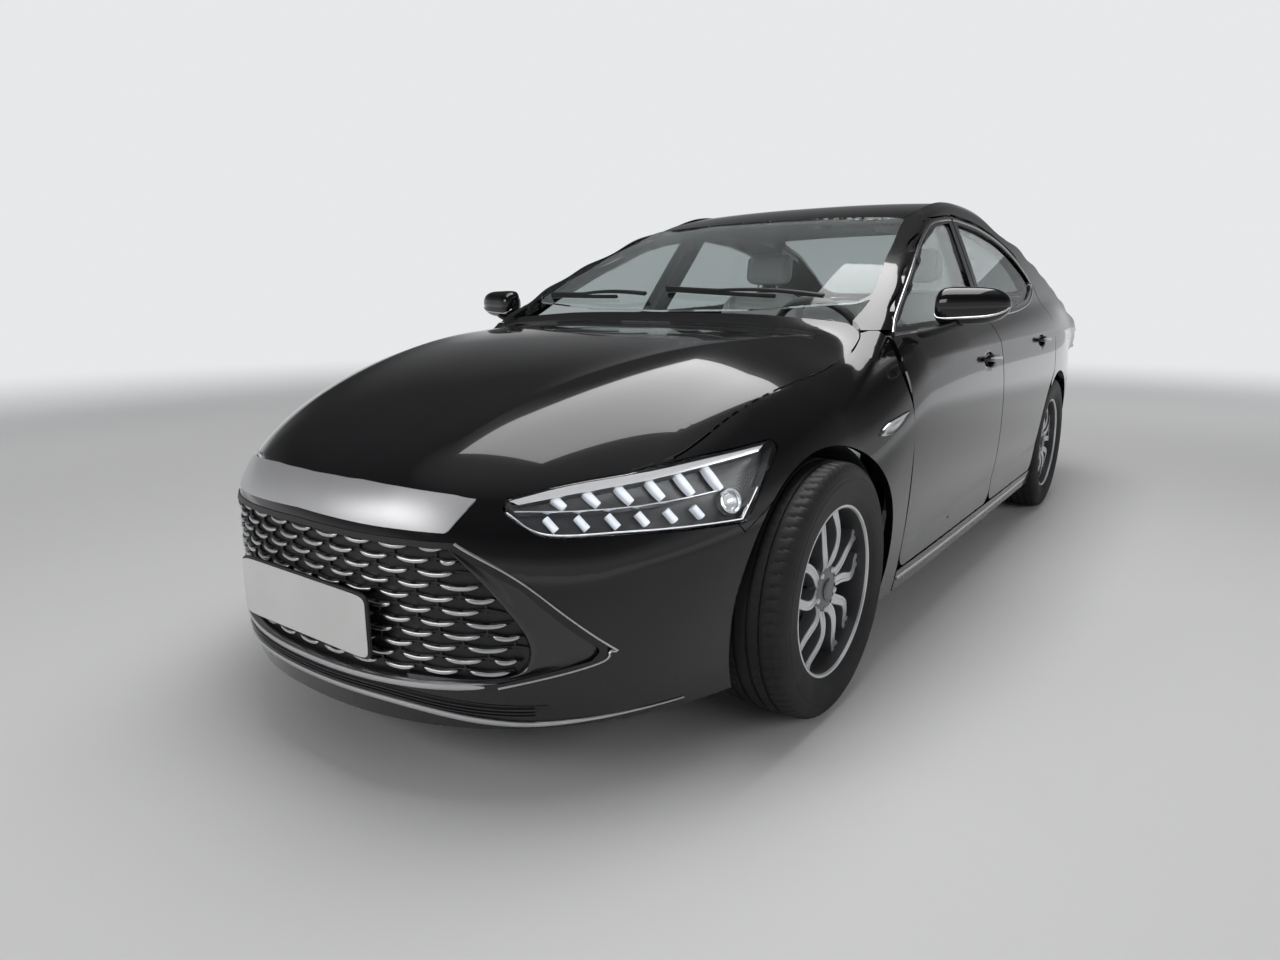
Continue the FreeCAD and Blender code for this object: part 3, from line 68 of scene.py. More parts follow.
def make_mesh(name, points, faces):
    """Object from an array of points and lists of corner numbers, smooth and standing at the origin."""
    mesh = bpy.data.meshes.new(name)
    mesh.from_pydata(np.asarray(points, float).reshape(-1, 3).tolist(), [], [list(map(int, f)) for f in faces])
    mesh.polygons.foreach_set("use_smooth", np.ones(len(mesh.polygons), bool))
    mesh.update()
    thing = bpy.data.objects.new(name, mesh)
    bpy.context.scene.collection.objects.link(thing)
    return thing


def grid_faces(rows, cols, wrap_rows=False, wrap_cols=False):
    """Quads of a grid of points, joined end to end where a direction wraps."""
    i, j = np.meshgrid(np.arange(rows - (not wrap_rows)), np.arange(cols - (not wrap_cols)), indexing="ij")
    a, b = (i + 1) % rows, (j + 1) % cols
    return np.stack([i * cols + j, a * cols + j, a * cols + b, i * cols + b], -1).reshape(-1, 4)


def surface(name, points, wrap_rows=False, wrap_cols=False):
    """Object from a grid of points: rows run along its first axis, columns along its second."""
    rows, cols = points.shape[:2]
    return make_mesh(name, points, grid_faces(rows, cols, wrap_rows, wrap_cols))


def node(tree, kind, inputs=(), **settings):
    """Shader node with settings, and inputs given as values or as other nodes' outputs."""
    made = tree.nodes.new(kind)
    for key, value in settings.items():
        setattr(made, key, value)
    for slot, value in dict(inputs).items():
        if hasattr(value, "links"):
            tree.links.new(value, made.inputs[slot])
        else:
            made.inputs[slot].default_value = value
    return made


def new_material(name, **sockets):
    """Material with one Principled shader; sockets are set by name, with underscores for spaces."""
    material = bpy.data.materials.new(name)
    material.use_nodes = True
    shader = material.node_tree.nodes["Principled BSDF"]
    for socket, value in sockets.items():
        shader.inputs[socket.replace("_", " ")].default_value = value
    return material


def paint_with(thing, material):
    """Give a piece or a node one material; a new piece keeps its faces' material numbers."""
    if thing.data.materials:
        thing.data.materials.clear()
    thing.data.materials.append(material)


floor_stuff = new_material("studio_floor", Base_Color=(FLOOR_GREY, FLOOR_GREY, FLOOR_GREY, 1), Roughness=0.55)
tree = floor_stuff.node_tree
spot = node(tree, "ShaderNodeTexCoord")
reach = node(tree, "ShaderNodeVectorMath", {0: spot.outputs["Object"]}, operation="LENGTH")
fade = node(tree, "ShaderNodeMapRange", {"Value": reach.outputs["Value"], "From Min": FADE_START, "From Max": FADE_END},
            interpolation_type="SMOOTHSTEP")
glow = node(tree, "ShaderNodeEmission", {"Color": BACKDROP})
melt = node(tree, "ShaderNodeMixShader", {0: fade.outputs[0], 1: tree.nodes["Principled BSDF"].outputs[0],
                                          2: glow.outputs[0]})
tree.links.new(melt.outputs[0], tree.nodes["Material Output"].inputs["Surface"])
corner = np.linspace(-FLOOR_HALF, FLOOR_HALF, 2)
floor_points = np.stack([*np.meshgrid(corner, corner, indexing="ij"), np.zeros((2, 2))], -1)
studio_floor = surface("studio_floor", floor_points)
paint_with(studio_floor, floor_stuff)

SKY_STOPS = ((0.0, 0.50), (0.08, 0.55), (0.22, 0.16), (0.45, 0.05), (0.78, 0.10), (1.0, 0.50))
world = bpy.data.worlds.new("studio")
bpy.context.scene.world = world
world.use_nodes = True
tree = world.node_tree
place = node(tree, "ShaderNodeTexCoord")
height = node(tree, "ShaderNodeSeparateXYZ", {0: place.outputs["Generated"]})
ramp = node(tree, "ShaderNodeValToRGB", {"Fac": height.outputs["Z"]})
for stop, (where, grey) in enumerate(SKY_STOPS):
    element = ramp.color_ramp.elements[stop] if stop < 2 else ramp.color_ramp.elements.new(where)
    element.position = where
    element.color = (grey, grey * 1.01, grey * 1.03, 1)
paths = node(tree, "ShaderNodeLightPath")
seen = node(tree, "ShaderNodeMath", {0: paths.outputs["Is Camera Ray"], 1: paths.outputs["Is Transmission Ray"]},
            operation="MAXIMUM")
mix = node(tree, "ShaderNodeMix", {"Factor": seen.outputs[0], 6: ramp.outputs["Color"], 7: BACKDROP}, data_type="RGBA")
tree.links.new(mix.outputs[2], tree.nodes["Background"].inputs["Color"])

LAMPS = (("roof_softbox", (0.4, 0.2, 4.2), (0, 0, 0), (4.6, 2.2), 130.0),
         ("left_softbox", (1.5, 5.6, 2.6), (-62, 0, 0), (6.0, 1.6), 90.0),
         ("front_softbox", (6.4, -1.6, 3.0), (0, 62, 0), (1.6, 4.5), 90.0),
         ("rear_softbox", (-6.4, 1.0, 3.2), (0, -62, 0), (1.6, 4.5), 80.0),
         ("right_softbox", (0.0, -5.8, 2.8), (62, 0, 0), (6.0, 1.4), 60.0))
REFLECTED = ("roof_softbox", "front_softbox")
for name, spot, turn, size, watts in LAMPS:
    lamp = bpy.data.objects.new(name, bpy.data.lights.new(name, "AREA"))
    lamp.data.shape = "RECTANGLE"
    lamp.data.size, lamp.data.size_y = size
    lamp.data.energy = watts
    lamp.location = spot
    lamp.rotation_euler = np.radians(turn)
    lamp.visible_glossy = name in REFLECTED
    bpy.context.scene.collection.objects.link(lamp)

# --- Painted shell ------------------------------------------------------------------------------
# Steel and aluminium panels pressed to one flowing skin, sprayed black and lacquered. The skin is
# worked out below as a formula. Each panel keeps the outline of its solid, and the doors, lids,
# roof and front bumper are laid on that skin.
HALF_WIDTH, NOSE_X, TAIL_X, WAIST_Z = 0.912, 2.388, 2.388, 0.620
COWL_X, COWL_Z, NOSE_TOP_X, NOSE_TOP_Z = 0.970, 0.990, 2.320, 0.712
ROOF_Z, ROOF_X, BELT_Z, BELT_HALF = 1.472, -0.400, 0.985, 0.815


def smooth_max(a, b, k):
    """Larger of two values, rounded over the width k where they meet."""
    h = np.maximum(k - np.abs(a - b), 0.0) / k
    return np.maximum(a, b) + h ** 3 * k / 6


def smooth_step(x, a, b):
    """0 before a, 1 after b, an S curve between."""
    t = np.clip((x - a) / (b - a), 0.0, 1.0)
    return t * t * (3 - 2 * t)


def over(value, start, span):
    """How far a value is past a start, in spans, and never below zero."""
    return np.maximum(value - start, 0.0) / span


def top_line(x, y):
    """Height of the bonnet, belt and boot deck: a falling curve ahead of the cowl, a rising one behind."""
    s = np.minimum((x - COWL_X) / (NOSE_TOP_X - COWL_X), 1.3)
    ahead = COWL_Z - (COWL_Z - NOSE_TOP_Z) * (0.22 * s + 0.78 * np.maximum(s, 0) ** 2.9)
    behind = COWL_Z + 0.085 * np.clip((COWL_X - x) / 2.670, 0, 1) ** 1.1
    front = smooth_step(x, 0.300, 1.000)
    v = np.abs(y) / 0.700
    return np.where(s >= 0, ahead, behind) - 0.030 * v ** 2.5 * front - 0.012 * v ** 2 * (1 - front)


def lower_body(p):
    """Signed size of the lower body: a super-ellipse in plan whose reach and width change with height."""
    x, y, z = p[..., 0], p[..., 1], p[..., 2]
    nose = np.maximum(NOSE_X - 0.014 * over(0.330, z, 0.150) ** 2.2 - 0.040 * over(z, 0.520, 0.170) ** 2, 0.6)
    tail = np.maximum(TAIL_X - 0.060 * over(0.560, z, 0.380) ** 2 - 0.085 * over(z, 0.560, 0.500) ** 1.8, 0.6)
    waist = HALF_WIDTH - 0.042 * over(WAIST_Z, z, 0.440) ** 2 - 0.042 * over(z, WAIST_Z, 0.340) ** 2.2
    waist = np.maximum(waist, HALF_WIDTH / 4)
    ahead = (np.abs(x) / nose) ** 5.2 + (np.abs(y) / waist) ** 2.25
    behind = (np.abs(x) / tail) ** 7.0 + (np.abs(y) / waist) ** 2.6
    side = waist * (np.where(x > 0, ahead ** (1 / 2.25), behind ** (1 / 2.6)) - 1)
    out = smooth_step(np.abs(y), 0.250, 0.650)
    blend = 0.150 + out * (0.060 + 0.340 * smooth_step(x, 0.800, 1.350))
    return smooth_max(side, z - top_line(x, y), blend)


def greenhouse(p):
    """Signed size of the cabin's upper part: an arched roof line over sides that lean in."""
    x, y, z = p[..., 0], p[..., 1], p[..., 2]
    drop = np.where(x > ROOF_X, 0.450 * over(x, ROOF_X, 1.370) ** 1.75, 0.372 * over(ROOF_X, x, 1.420) ** 2.25)
    top = z - (ROOF_Z - drop) + 0.020 * (np.abs(y) / 0.600) ** 2.4
    half = BELT_HALF - 0.025 * smooth_step(x, 0.500, 1.200) - 0.46 * (np.maximum(z, 0.900) - BELT_Z)
    half = half - 0.012 * over(z, BELT_Z, 0.400) ** 2 - 0.25 * np.maximum(0.900 - z, 0.0)
    return smooth_max(top, (np.abs(y) - half) * 0.88, 0.045)


def whole_skin(p):
    """Signed size of the whole car: lower body and greenhouse joined by a soft waist line."""
    return -smooth_max(-lower_body(p), -greenhouse(p), 0.040)


SLOPE_STEP, LAY_TURNS, HIT_HALVINGS = 5e-4, 3, 26


def slope(field, p):
    """Gradient of a field, by central differences."""
    moves = np.eye(3) * SLOPE_STEP
    return np.stack([(field(p + m) - field(p - m)) / (2 * SLOPE_STEP) for m in moves], -1)


def lay_on(field, p):
    """Points moved onto a field's zero surface along its gradient."""
    for _ in range(LAY_TURNS):
        g = slope(field, p)
        p = p - g * (field(p) / np.maximum((g ** 2).sum(-1), 1e-9))[..., None]
    return p


def hit(field, start, way, reach=1.7):
    """Points where rays from inside leave a field, by halving the reach."""
    start, way = np.broadcast_arrays(np.asarray(start, float), np.asarray(way, float))
    near, far = np.zeros(start.shape[:-1]), np.full(start.shape[:-1], reach)
    for _ in range(HIT_HALVINGS):
        mid = (near + far) / 2
        inside = field(start + way * mid[..., None]) < 0
        near, far = np.where(inside, mid, near), np.where(inside, far, mid)
    return start + way * near[..., None]


CREASE_ROUND = 0.004
BONNET_RAISE, SIDE_RAISE, SILL_SINK = 0.0065, 0.0040, 0.0055
LONGEST_EDGE, CREASE_EDGE, CUP_EDGE, CREASE_NEAR = 0.036, 0.013, 0.008, 0.035
SKIN_REACH, SKIN_HIGHEST, SKIN_LOWEST = 0.0055, 0.021, -0.018
FACES_OUT, FACES_IN = 0.25, -0.86
SHARP_TURN = np.radians(28)
HANDLES = (("front", 0.130, 0.842), ("rear", -0.822, 0.872))
CUP_LONG, CUP_HIGH, CUP_DEPTH = 0.078, 0.031, 0.017


def bonnet_fold(p):
    """Distance from the bonnet's two folds, which run in from the screen's corners to the nose."""
    x = np.clip(p[..., 0], 0.95, 2.30)
    line = 0.310 + 0.330 * np.clip((2.25 - x) / 1.25, 0, 1.1) ** 1.25
    return (np.abs(p[..., 1]) - line) * 0.95


def side_fold(p):
    """Distance from the fold along the doors, which rises slowly to the tail lamps."""
    return p[..., 2] - (0.885 + 0.0125 * (0.9 - p[..., 0]))


def sill_fold(p):
    """Distance from the hollow line low on the doors, which rises towards the rear wheel."""
    return p[..., 2] - (0.335 + 0.030 * (0.95 - p[..., 0]))


def ridge(distance, spread):
    """1 on a fold, falling off exponentially with a small round top."""
    return np.exp(-np.sqrt(distance ** 2 + CREASE_ROUND ** 2) / spread)


def cup(p, x, z):
    """1 in the middle of a finger cup behind a door handle, 0 outside its ellipse."""
    r = ((p[..., 0] - x) / CUP_LONG) ** 2 + ((p[..., 2] - z) / CUP_HIGH) ** 2
    return np.clip(1 - r, 0, 1) ** 1.5 * (np.abs(p[..., 1]) > 0.6)


def pressed(p):
    """Whole skin with its folds raised and the handles' finger cups sunk in."""
    x, y, z = p[..., 0], p[..., 1], p[..., 2]
    on_bonnet = smooth_step(x, 0.98, 1.25) * (1 - smooth_step(x, 2.05, 2.27)) * (z > 0.66)
    on_side = (1 - smooth_step(x, 0.60, 1.15)) * smooth_step(x, -2.10, -1.75) * (np.abs(y) > 0.6)
    low_side = (1 - smooth_step(x, 0.80, 0.96)) * smooth_step(x, -0.98, -0.70) * (np.abs(y) > 0.6)
    raised = BONNET_RAISE * on_bonnet * ridge(bonnet_fold(p), 0.045) + SIDE_RAISE * on_side * ridge(side_fold(p), 0.030)
    sunk = SILL_SINK * low_side * ridge(sill_fold(p), 0.040)
    for _, at_x, at_z in HANDLES:
        sunk = sunk + CUP_DEPTH * cup(p, at_x, at_z)
    return whole_skin(p) - raised + sunk


def edge_limit(p):
    """Longest edge wanted at points: short beside a fold or cup, long elsewhere."""
    near = (np.abs(bonnet_fold(p)) < CREASE_NEAR) & (p[..., 0] > 0.95) & (p[..., 2] > 0.66)
    beside = (np.abs(side_fold(p)) < CREASE_NEAR) | (np.abs(sill_fold(p)) < CREASE_NEAR)
    near |= beside & (p[..., 0] < 1.2) & (p[..., 0] > -2.1) & (np.abs(p[..., 1]) > 0.6)
    limit = np.where(near, CREASE_EDGE, LONGEST_EDGE)
    for _, at_x, at_z in HANDLES:
        limit = np.where(cup(p, at_x, at_z) > 0, CUP_EDGE, limit)
    return limit


def merged_copy(node, limits):
    """Joined copy of a node's loose triangles, with long edges split so that it can follow the skin."""
    mesh = bmesh.new()
    mesh.from_mesh(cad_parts[node].data)
    bmesh.ops.remove_doubles(mesh, verts=mesh.verts, dist=2e-5)
    for _ in range(6):
        ends = np.array([[*e.verts[0].co, *e.verts[1].co] for e in mesh.edges])
        length = np.linalg.norm(ends[:, :3] - ends[:, 3:], axis=1)
        split = length > limits((ends[:, :3] + ends[:, 3:]) / 2)
        if not split.any():
            break
        bmesh.ops.subdivide_edges(mesh, edges=[e for e, cut in zip(mesh.edges, split) if cut], cuts=1)
        bmesh.ops.triangulate(mesh, faces=[f for f in mesh.faces if len(f.verts) > 3])
    return mesh


def facing_out(points, faces, g):
    """Cosine between each face and the gradient at its corners: the one nearest to square on."""
    p = points[faces]
    flat = np.cross(p[:, 1] - p[:, 0], p[:, 2] - p[:, 0])
    flat /= np.maximum(np.linalg.norm(flat, axis=1), 1e-12)[:, None]
    way = (g / np.linalg.norm(g, axis=1)[:, None])[faces]
    cosines = (flat[:, None, :] * way).sum(-1)
    return np.where(cosines.mean(1) > 0, cosines.min(1), cosines.max(1))


def skinned(name, node, field, lay=True, limits=lambda p: np.full(p.shape[:-1], LONGEST_EDGE)):
    """Panel from a node's solid, shaded with the field's own normals on its outer and inner faces; where lay is
    set, its outer face is also moved onto the field."""
    shell = merged_copy(node, limits)
    thing = bpy.data.objects.new(name, bpy.data.meshes.new(name))
    bpy.context.scene.collection.objects.link(thing)
    for edge in shell.edges:
        edge.smooth = len(edge.link_faces) == 2 and edge.calc_face_angle(0) < SHARP_TURN
    shell.to_mesh(thing.data)
    shell.free()
    mesh = thing.data
    points = np.empty(len(mesh.vertices) * 3)
    mesh.vertices.foreach_get("co", points)
    points = points.reshape(-1, 3)
    faces = np.empty(len(mesh.polygons) * 3, np.int32)
    mesh.loops.foreach_get("vertex_index", faces)
    faces = faces.reshape(-1, 3)
    g = slope(field, points)
    steep = np.linalg.norm(g, axis=1)
    height = field(points) / steep
    close = (height < SKIN_HIGHEST) & (height > SKIN_LOWEST)
    outer = close[faces].all(1) & (facing_out(points, faces, g) > FACES_OUT)
    if lay:
        near = np.abs(whole_skin(points)) < SKIN_REACH * steep
        moved = np.unique(faces[outer & near[faces].all(1)])
        laid = lay_on(field, points[moved])
        short = np.linalg.norm(laid - points[moved], axis=1) < SKIN_HIGHEST
        points[moved[short]] = laid[short]
        mesh.vertices.foreach_set("co", points.ravel())
        g = slope(field, points)
    mesh.update()
    mesh.polygons.foreach_set("use_smooth", np.ones(len(mesh.polygons), bool))
    inner = facing_out(points, faces, g) < FACES_IN
    along = np.where(outer, 1.0, np.where(inner, -1.0, 0.0))
    corners = (g / np.linalg.norm(g, axis=1)[:, None])[faces] * along[:, None, None]
    mesh.normals_split_custom_set(corners.reshape(-1, 3).tolist())
    return thing


FLOAT, COLOUR, VECTOR = "NodeSocketFloat", "NodeSocketColor", "NodeSocketVector"


def group_with(name, ins, outs):
    """Empty shader group with named sockets: (name, kind, default) in, (name, kind) out."""
    group = bpy.data.node_groups.new(name, "ShaderNodeTree")
    for label, kind, default in ins:
        socket = group.interface.new_socket(label, in_out="INPUT", socket_type=kind)
        socket.default_value = default
    for label, kind in outs:
        group.interface.new_socket(label, in_out="OUTPUT", socket_type=kind)
    return group, group.nodes.new("NodeGroupInput"), group.nodes.new("NodeGroupOutput")


# Fine grain: noise of a set size gives the normal, and a slow change of tone goes with it.
grain, grain_in, grain_out = group_with(
    "fine_grain",
    [("Size", FLOAT, 0.002), ("Depth", FLOAT, 0.3), ("Tone", FLOAT, 0.1), ("Color", COLOUR, (1, 1, 1, 1))],
    [("Normal", VECTOR), ("Color", COLOUR)])
where = node(grain, "ShaderNodeTexCoord")
scale = node(grain, "ShaderNodeMath", {0: 1.0, 1: grain_in.outputs["Size"]}, operation="DIVIDE")
fine = node(grain, "ShaderNodeTexNoise", {"Vector": where.outputs["Object"], "Scale": scale.outputs[0], "Detail": 3.0})
slow = node(grain, "ShaderNodeTexNoise", {"Vector": where.outputs["Object"], "Scale": 9.0, "Detail": 2.0})
bump = node(grain, "ShaderNodeBump", {"Height": fine.outputs["Fac"], "Strength": grain_in.outputs["Depth"],
                                      "Distance": 0.001})
dark = node(grain, "ShaderNodeMath", {0: 1.0, 1: grain_in.outputs["Tone"]}, operation="SUBTRACT")
shade = node(grain, "ShaderNodeMapRange", {"Value": slow.outputs["Fac"], "From Min": 0.3, "From Max": 0.7,
                                           "To Min": dark.outputs[0], "To Max": 1.0})
tint = node(grain, "ShaderNodeVectorMath", {0: grain_in.outputs["Color"], 3: shade.outputs[0]}, operation="SCALE")
grain.links.new(bump.outputs["Normal"], grain_out.inputs["Normal"])
grain.links.new(tint.outputs[0], grain_out.inputs["Color"])


def made_of(name, colour, size, depth, tone, **sockets):
    """Material with fine grain in its colour and normal; the other sockets are as for new_material."""
    material = new_material(name, **sockets)
    tree = material.node_tree
    made = node(tree, "ShaderNodeGroup", {"Size": size, "Depth": depth, "Tone": tone, "Color": (*colour, 1)},
                node_tree=grain)
    shader = tree.nodes["Principled BSDF"]
    tree.links.new(made.outputs["Color"], shader.inputs["Base Color"])
    tree.links.new(made.outputs["Normal"], shader.inputs["Normal"])
    return material


# Road film: a thin dust that lies low on the sides, dulls them in patches and fades out with height.
film, film_in, film_out = group_with("road_film", [("Clean", FLOAT, 0.05), ("Dusty", FLOAT, 0.3), ("Top", FLOAT, 0.45)],
                                     [("Roughness", FLOAT)])
where = node(film, "ShaderNodeTexCoord")
rise = node(film, "ShaderNodeSeparateXYZ", {0: where.outputs["Object"]})
patches = node(film, "ShaderNodeTexNoise", {"Vector": where.outputs["Object"], "Scale": 7.0, "Detail": 6.0})
low = node(film, "ShaderNodeMapRange", {"Value": rise.outputs["Z"], "From Min": 0.12,
                                        "From Max": film_in.outputs["Top"], "To Min": 1.0, "To Max": 0.0})
both = node(film, "ShaderNodeMath", {0: low.outputs[0], 1: patches.outputs["Fac"]}, operation="MULTIPLY")
rough = node(film, "ShaderNodeMapRange", {"Value": both.outputs[0], "From Min": 0.0, "From Max": 0.7,
                                          "To Min": film_in.outputs["Clean"], "To Max": film_in.outputs["Dusty"]})
film.links.new(rough.outputs[0], film_out.inputs["Roughness"])


def dusted(material, **levels):
    """Let road film set a material's roughness: Clean high up, Dusty low down, fading out at Top."""
    tree = material.node_tree
    made = node(tree, "ShaderNodeGroup", levels, node_tree=film)
    tree.links.new(made.outputs["Roughness"], tree.nodes["Principled BSDF"].inputs["Roughness"])
    return material


def fit(piece, stuff, body, solid=None):
    """Paint a piece, let it ride on its body and hide the node that it stands in for, if any."""
    paint_with(piece, stuff)
    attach(piece, body)
    if solid:
        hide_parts(solid)
    return piece


body_black = dusted(made_of("black_lacquer", (0.0042, 0.0042, 0.0050), 0.0009, 0.02, 0.25, Metallic=0.0, Roughness=0.22,
                            Coat_Weight=1.0, Coat_Roughness=0.012, Coat_IOR=1.47, Specular_IOR_Level=0.15),
                    Clean=0.16, Dusty=0.42)

SIDES = (("left", 1), ("right", -1))
LAID = ("bonnet", "boot_lid", "roof_panel", "front_bumper", "door")
PAINTED = [("bonnet", "bonnet"), ("boot_lid", "boot_lid"), ("roof_panel", "root"), ("rear_bumper", "root"),
           ("front_bumper", "root")]
for side, _ in SIDES:
    PAINTED += [("body_side_" + side, "root"), ("front_fender_" + side, "root"),
                ("door_front_" + side, "door_front_" + side), ("door_rear_" + side, "door_rear_" + side)]
for part, body in PAINTED:
    fit(skinned("paint_" + part, part, pressed, lay=part.startswith(LAID), limits=edge_limit), body_black, body,
        part)

# --- Window glass -------------------------------------------------------------------------------
# A laminated windscreen with a faint green cast and darker tempered glass behind it, bent to the
# cabin's own curve. Edges are bonded or run in rubber, so only the faces show.
GLASS_IOR = 1.17


def window_glass(name, tint):
    """Glass that lets the lamps' light through in its own tint, so that the cabin isn't dark."""
    material = new_material(name, Base_Color=(*tint, 1), Roughness=0.0, Transmission_Weight=1.0, IOR=GLASS_IOR)
    tree = material.node_tree
    rays = node(tree, "ShaderNodeLightPath")
    passing = node(tree, "ShaderNodeBsdfTransparent", {"Color": (*[c ** 0.5 for c in tint], 1)})
    through = node(tree, "ShaderNodeMixShader", {0: rays.outputs["Is Shadow Ray"],
                                                 1: tree.nodes["Principled BSDF"].outputs[0], 2: passing.outputs[0]})
    tree.links.new(through.outputs[0], tree.nodes["Material Output"].inputs["Surface"])
    return material


screen_glass = window_glass("screen_glass", (0.86, 0.91, 0.90))
dark_glass = window_glass("dark_glass", (0.42, 0.45, 0.45))
PANES = [("windscreen", "root", screen_glass), ("rear_window", "root", dark_glass)]
for side, _ in SIDES:
    PANES += [("glass_front_" + side, "door_front_" + side, dark_glass),
              ("glass_rear_" + side, "door_rear_" + side, dark_glass)]
for part, body, stuff in PANES:
    fit(skinned("pane_" + part, part, greenhouse, lay=False), stuff, body, part)

# --- Bright window mouldings --------------------------------------------------------------------
# Rolled stainless strips clipped round each side window: one over the roof edge and one along the
# belt. They are brushed, with a softly crowned section, and split where the doors part.
def run_through(points, count, closed=False):
    """Smooth curve through points (Catmull-Rom), taken at a number of places evenly along its length."""
    p = np.asarray(points, float)
    p = np.vstack([p[-1], p, p[:2]]) if closed else np.vstack([2 * p[0] - p[1], p, 2 * p[-1] - p[-2]])
    t = np.linspace(0, 1, 24, endpoint=False)[:, None]
    a, b, c, d = p[:-3, None], p[1:-2, None], p[2:-1, None], p[3:, None]
    dense = 0.5 * (2 * b + (c - a) * t + (2 * a - 5 * b + 4 * c - d) * t ** 2 + (3 * b - a - 3 * c + d) * t ** 3)
    dense = np.vstack([dense.reshape(-1, p.shape[1]), p[-2]])
    run = np.concatenate([[0], np.cumsum(np.linalg.norm(np.diff(dense, axis=0), axis=1))])
    stops = np.linspace(0, run[-1], count, endpoint=not closed)
    return np.stack([np.interp(stops, run, dense[:, k]) for k in range(p.shape[1])], -1)


def carry(path, up, profile, size=1.0):
    """Profile (across, out) carried along a path: each point is path + across * side + out * up, times a size."""
    ahead = np.gradient(path, axis=0)
    side = np.cross(up, ahead)
    side /= np.linalg.norm(side, axis=1)[:, None]
    up = np.cross(ahead, side)
    up /= np.linalg.norm(up, axis=1)[:, None]
    profile = np.asarray(profile, float)
    size = (size * np.ones(len(path)))[:, None, None]
    return path[:, None] + side[:, None] * profile[None, :, :1] * size + up[:, None] * profile[None, :, 1:] * size


def strips(name, grids, second=()):
    """One object from carried grids, each a tube with flat ends; columns named in second take a second material."""
    points, faces, slots, start = [], [], [], 0
    for grid in grids:
        rows, cols = grid.shape[:2]
        points.append(grid.reshape(-1, 3))
        faces += (grid_faces(rows, cols, wrap_cols=True) + start).tolist()
        faces += [list(range(start, start + cols)),
                  list(range(start + rows * cols - 1, start + (rows - 1) * cols - 1, -1))]
        slots += np.isin(np.arange((rows - 1) * cols) % cols, second).astype(int).tolist() + [0, 0]
        start += rows * cols
    thing = make_mesh(name, np.vstack(points), faces)
    thing.data.polygons.foreach_set("material_index", slots)
    return thing


def reworked(thing, change):
    """Run a change on a piece's mesh."""
    shell = bmesh.new()
    shell.from_mesh(thing.data)
    change(shell)
    shell.to_mesh(thing.data)
    shell.free()
    return thing


def sharpened(thing, degrees=35):
    """Mark the edges that turn by more than an angle as sharp, so that crisp arrises stay crisp."""
    def mark(shell):
        for edge in shell.edges:
            edge.smooth = len(edge.link_faces) == 2 and edge.calc_face_angle(0) < np.radians(degrees)
    return reworked(thing, mark)


def trim(name, runs, stuff, body, degrees=35):
    """Crisp-edged piece made of carried runs, fitted to its body."""
    return fit(sharpened(strips(name, runs), degrees), stuff, body)


def crowned(width, height, sink=0.002):
    """Closed section of a strip: a flattened curve over a foot that is sunk under the skin."""
    u = np.linspace(-1, 1, 7)
    top = np.stack([u * width / 2, height * (1 - u ** 4)], -1)
    return np.vstack([[[-width / 2, -sink]], top, [[width / 2, -sink]]])


def on_side(points, side):
    """Points (x, z) of a side view set on the car's left or right skin."""
    p = np.asarray(points, float)
    start = np.stack([p[:, 0], np.zeros(len(p)), p[:, 1]], -1)
    return hit(whole_skin, start, (0.0, float(side), 0.0))


def out_of(field, points):
    """Unit normals of a field's skin at points."""
    g = slope(field, points)
    return g / np.linalg.norm(g, axis=-1)[..., None]


def bead(field, path, section, size=1.0):
    """Section carried along a path on a field's skin, standing square to it."""
    return carry(path, out_of(field, path), section, size)


bright_trim = made_of("bright_trim", (0.66, 0.66, 0.67), 0.004, 0.03, 0.10, Metallic=1.0, Roughness=0.17)

FRONT_TOP = [(0.930, 0.966), (0.862, 1.014), (0.660, 1.118), (0.410, 1.236), (0.203, 1.314), (0.078, 1.346),
             (-0.108, 1.369), (-0.176, 1.374)]
FRONT_BELT = [(0.928, 0.962), (0.760, 0.966), (0.300, 0.981), (-0.064, 0.992)]
REAR_TOP = [(-0.200, 1.375), (-0.290, 1.376), (-0.563, 1.364), (-0.834, 1.324), (-1.024, 1.267), (-1.150, 1.191),
            (-1.203, 1.137)]
REAR_BELT = [(-0.090, 0.993), (-0.400, 1.000), (-0.700, 1.014), (-0.963, 1.042), (-1.140, 1.092), (-1.206, 1.132)]
MOULDING = crowned(0.011, 0.0035)
for side, sign in SIDES:
    for door, lines in (("door_front_", (FRONT_TOP, FRONT_BELT)), ("door_rear_", (REAR_TOP, REAR_BELT))):
        runs = [bead(whole_skin, on_side(run_through(line, 60), sign), MOULDING) for line in lines]
        trim("moulding_" + door + side, runs, bright_trim, door + side)

# --- Sill strips and wing badges ----------------------------------------------------------------
# Bright pressed metal: a strip clipped along each sill under the doors, and a plain dart-shaped
# ornament stuck on each front wing.
SILL_LINE = [(0.965, 0.228), (0.500, 0.222), (0.000, 0.220), (-0.500, 0.222), (-0.800, 0.226)]
SILL_STRIP = crowned(0.016, 0.004)
DART = [(1.196, 0.702), (1.150, 0.728), (1.080, 0.742), (1.006, 0.752), (1.030, 0.738), (1.070, 0.718), (1.130, 0.700)]
DART_RINGS = ((1.0, -0.0020), (1.0, 0.0036), (0.90, 0.0060), (0.72, 0.0042), (0.35, 0.0048), (0.02, 0.0051))


def facing(thing, way):
    """Turn an open surface over if its faces mostly look away from a direction."""
    normals = np.empty(len(thing.data.polygons) * 3)
    thing.data.polygons.foreach_get("normal", normals)
    if (normals.reshape(-1, 3) @ np.asarray(way, float)).mean() < 0:
        thing.data.flip_normals()
    return thing


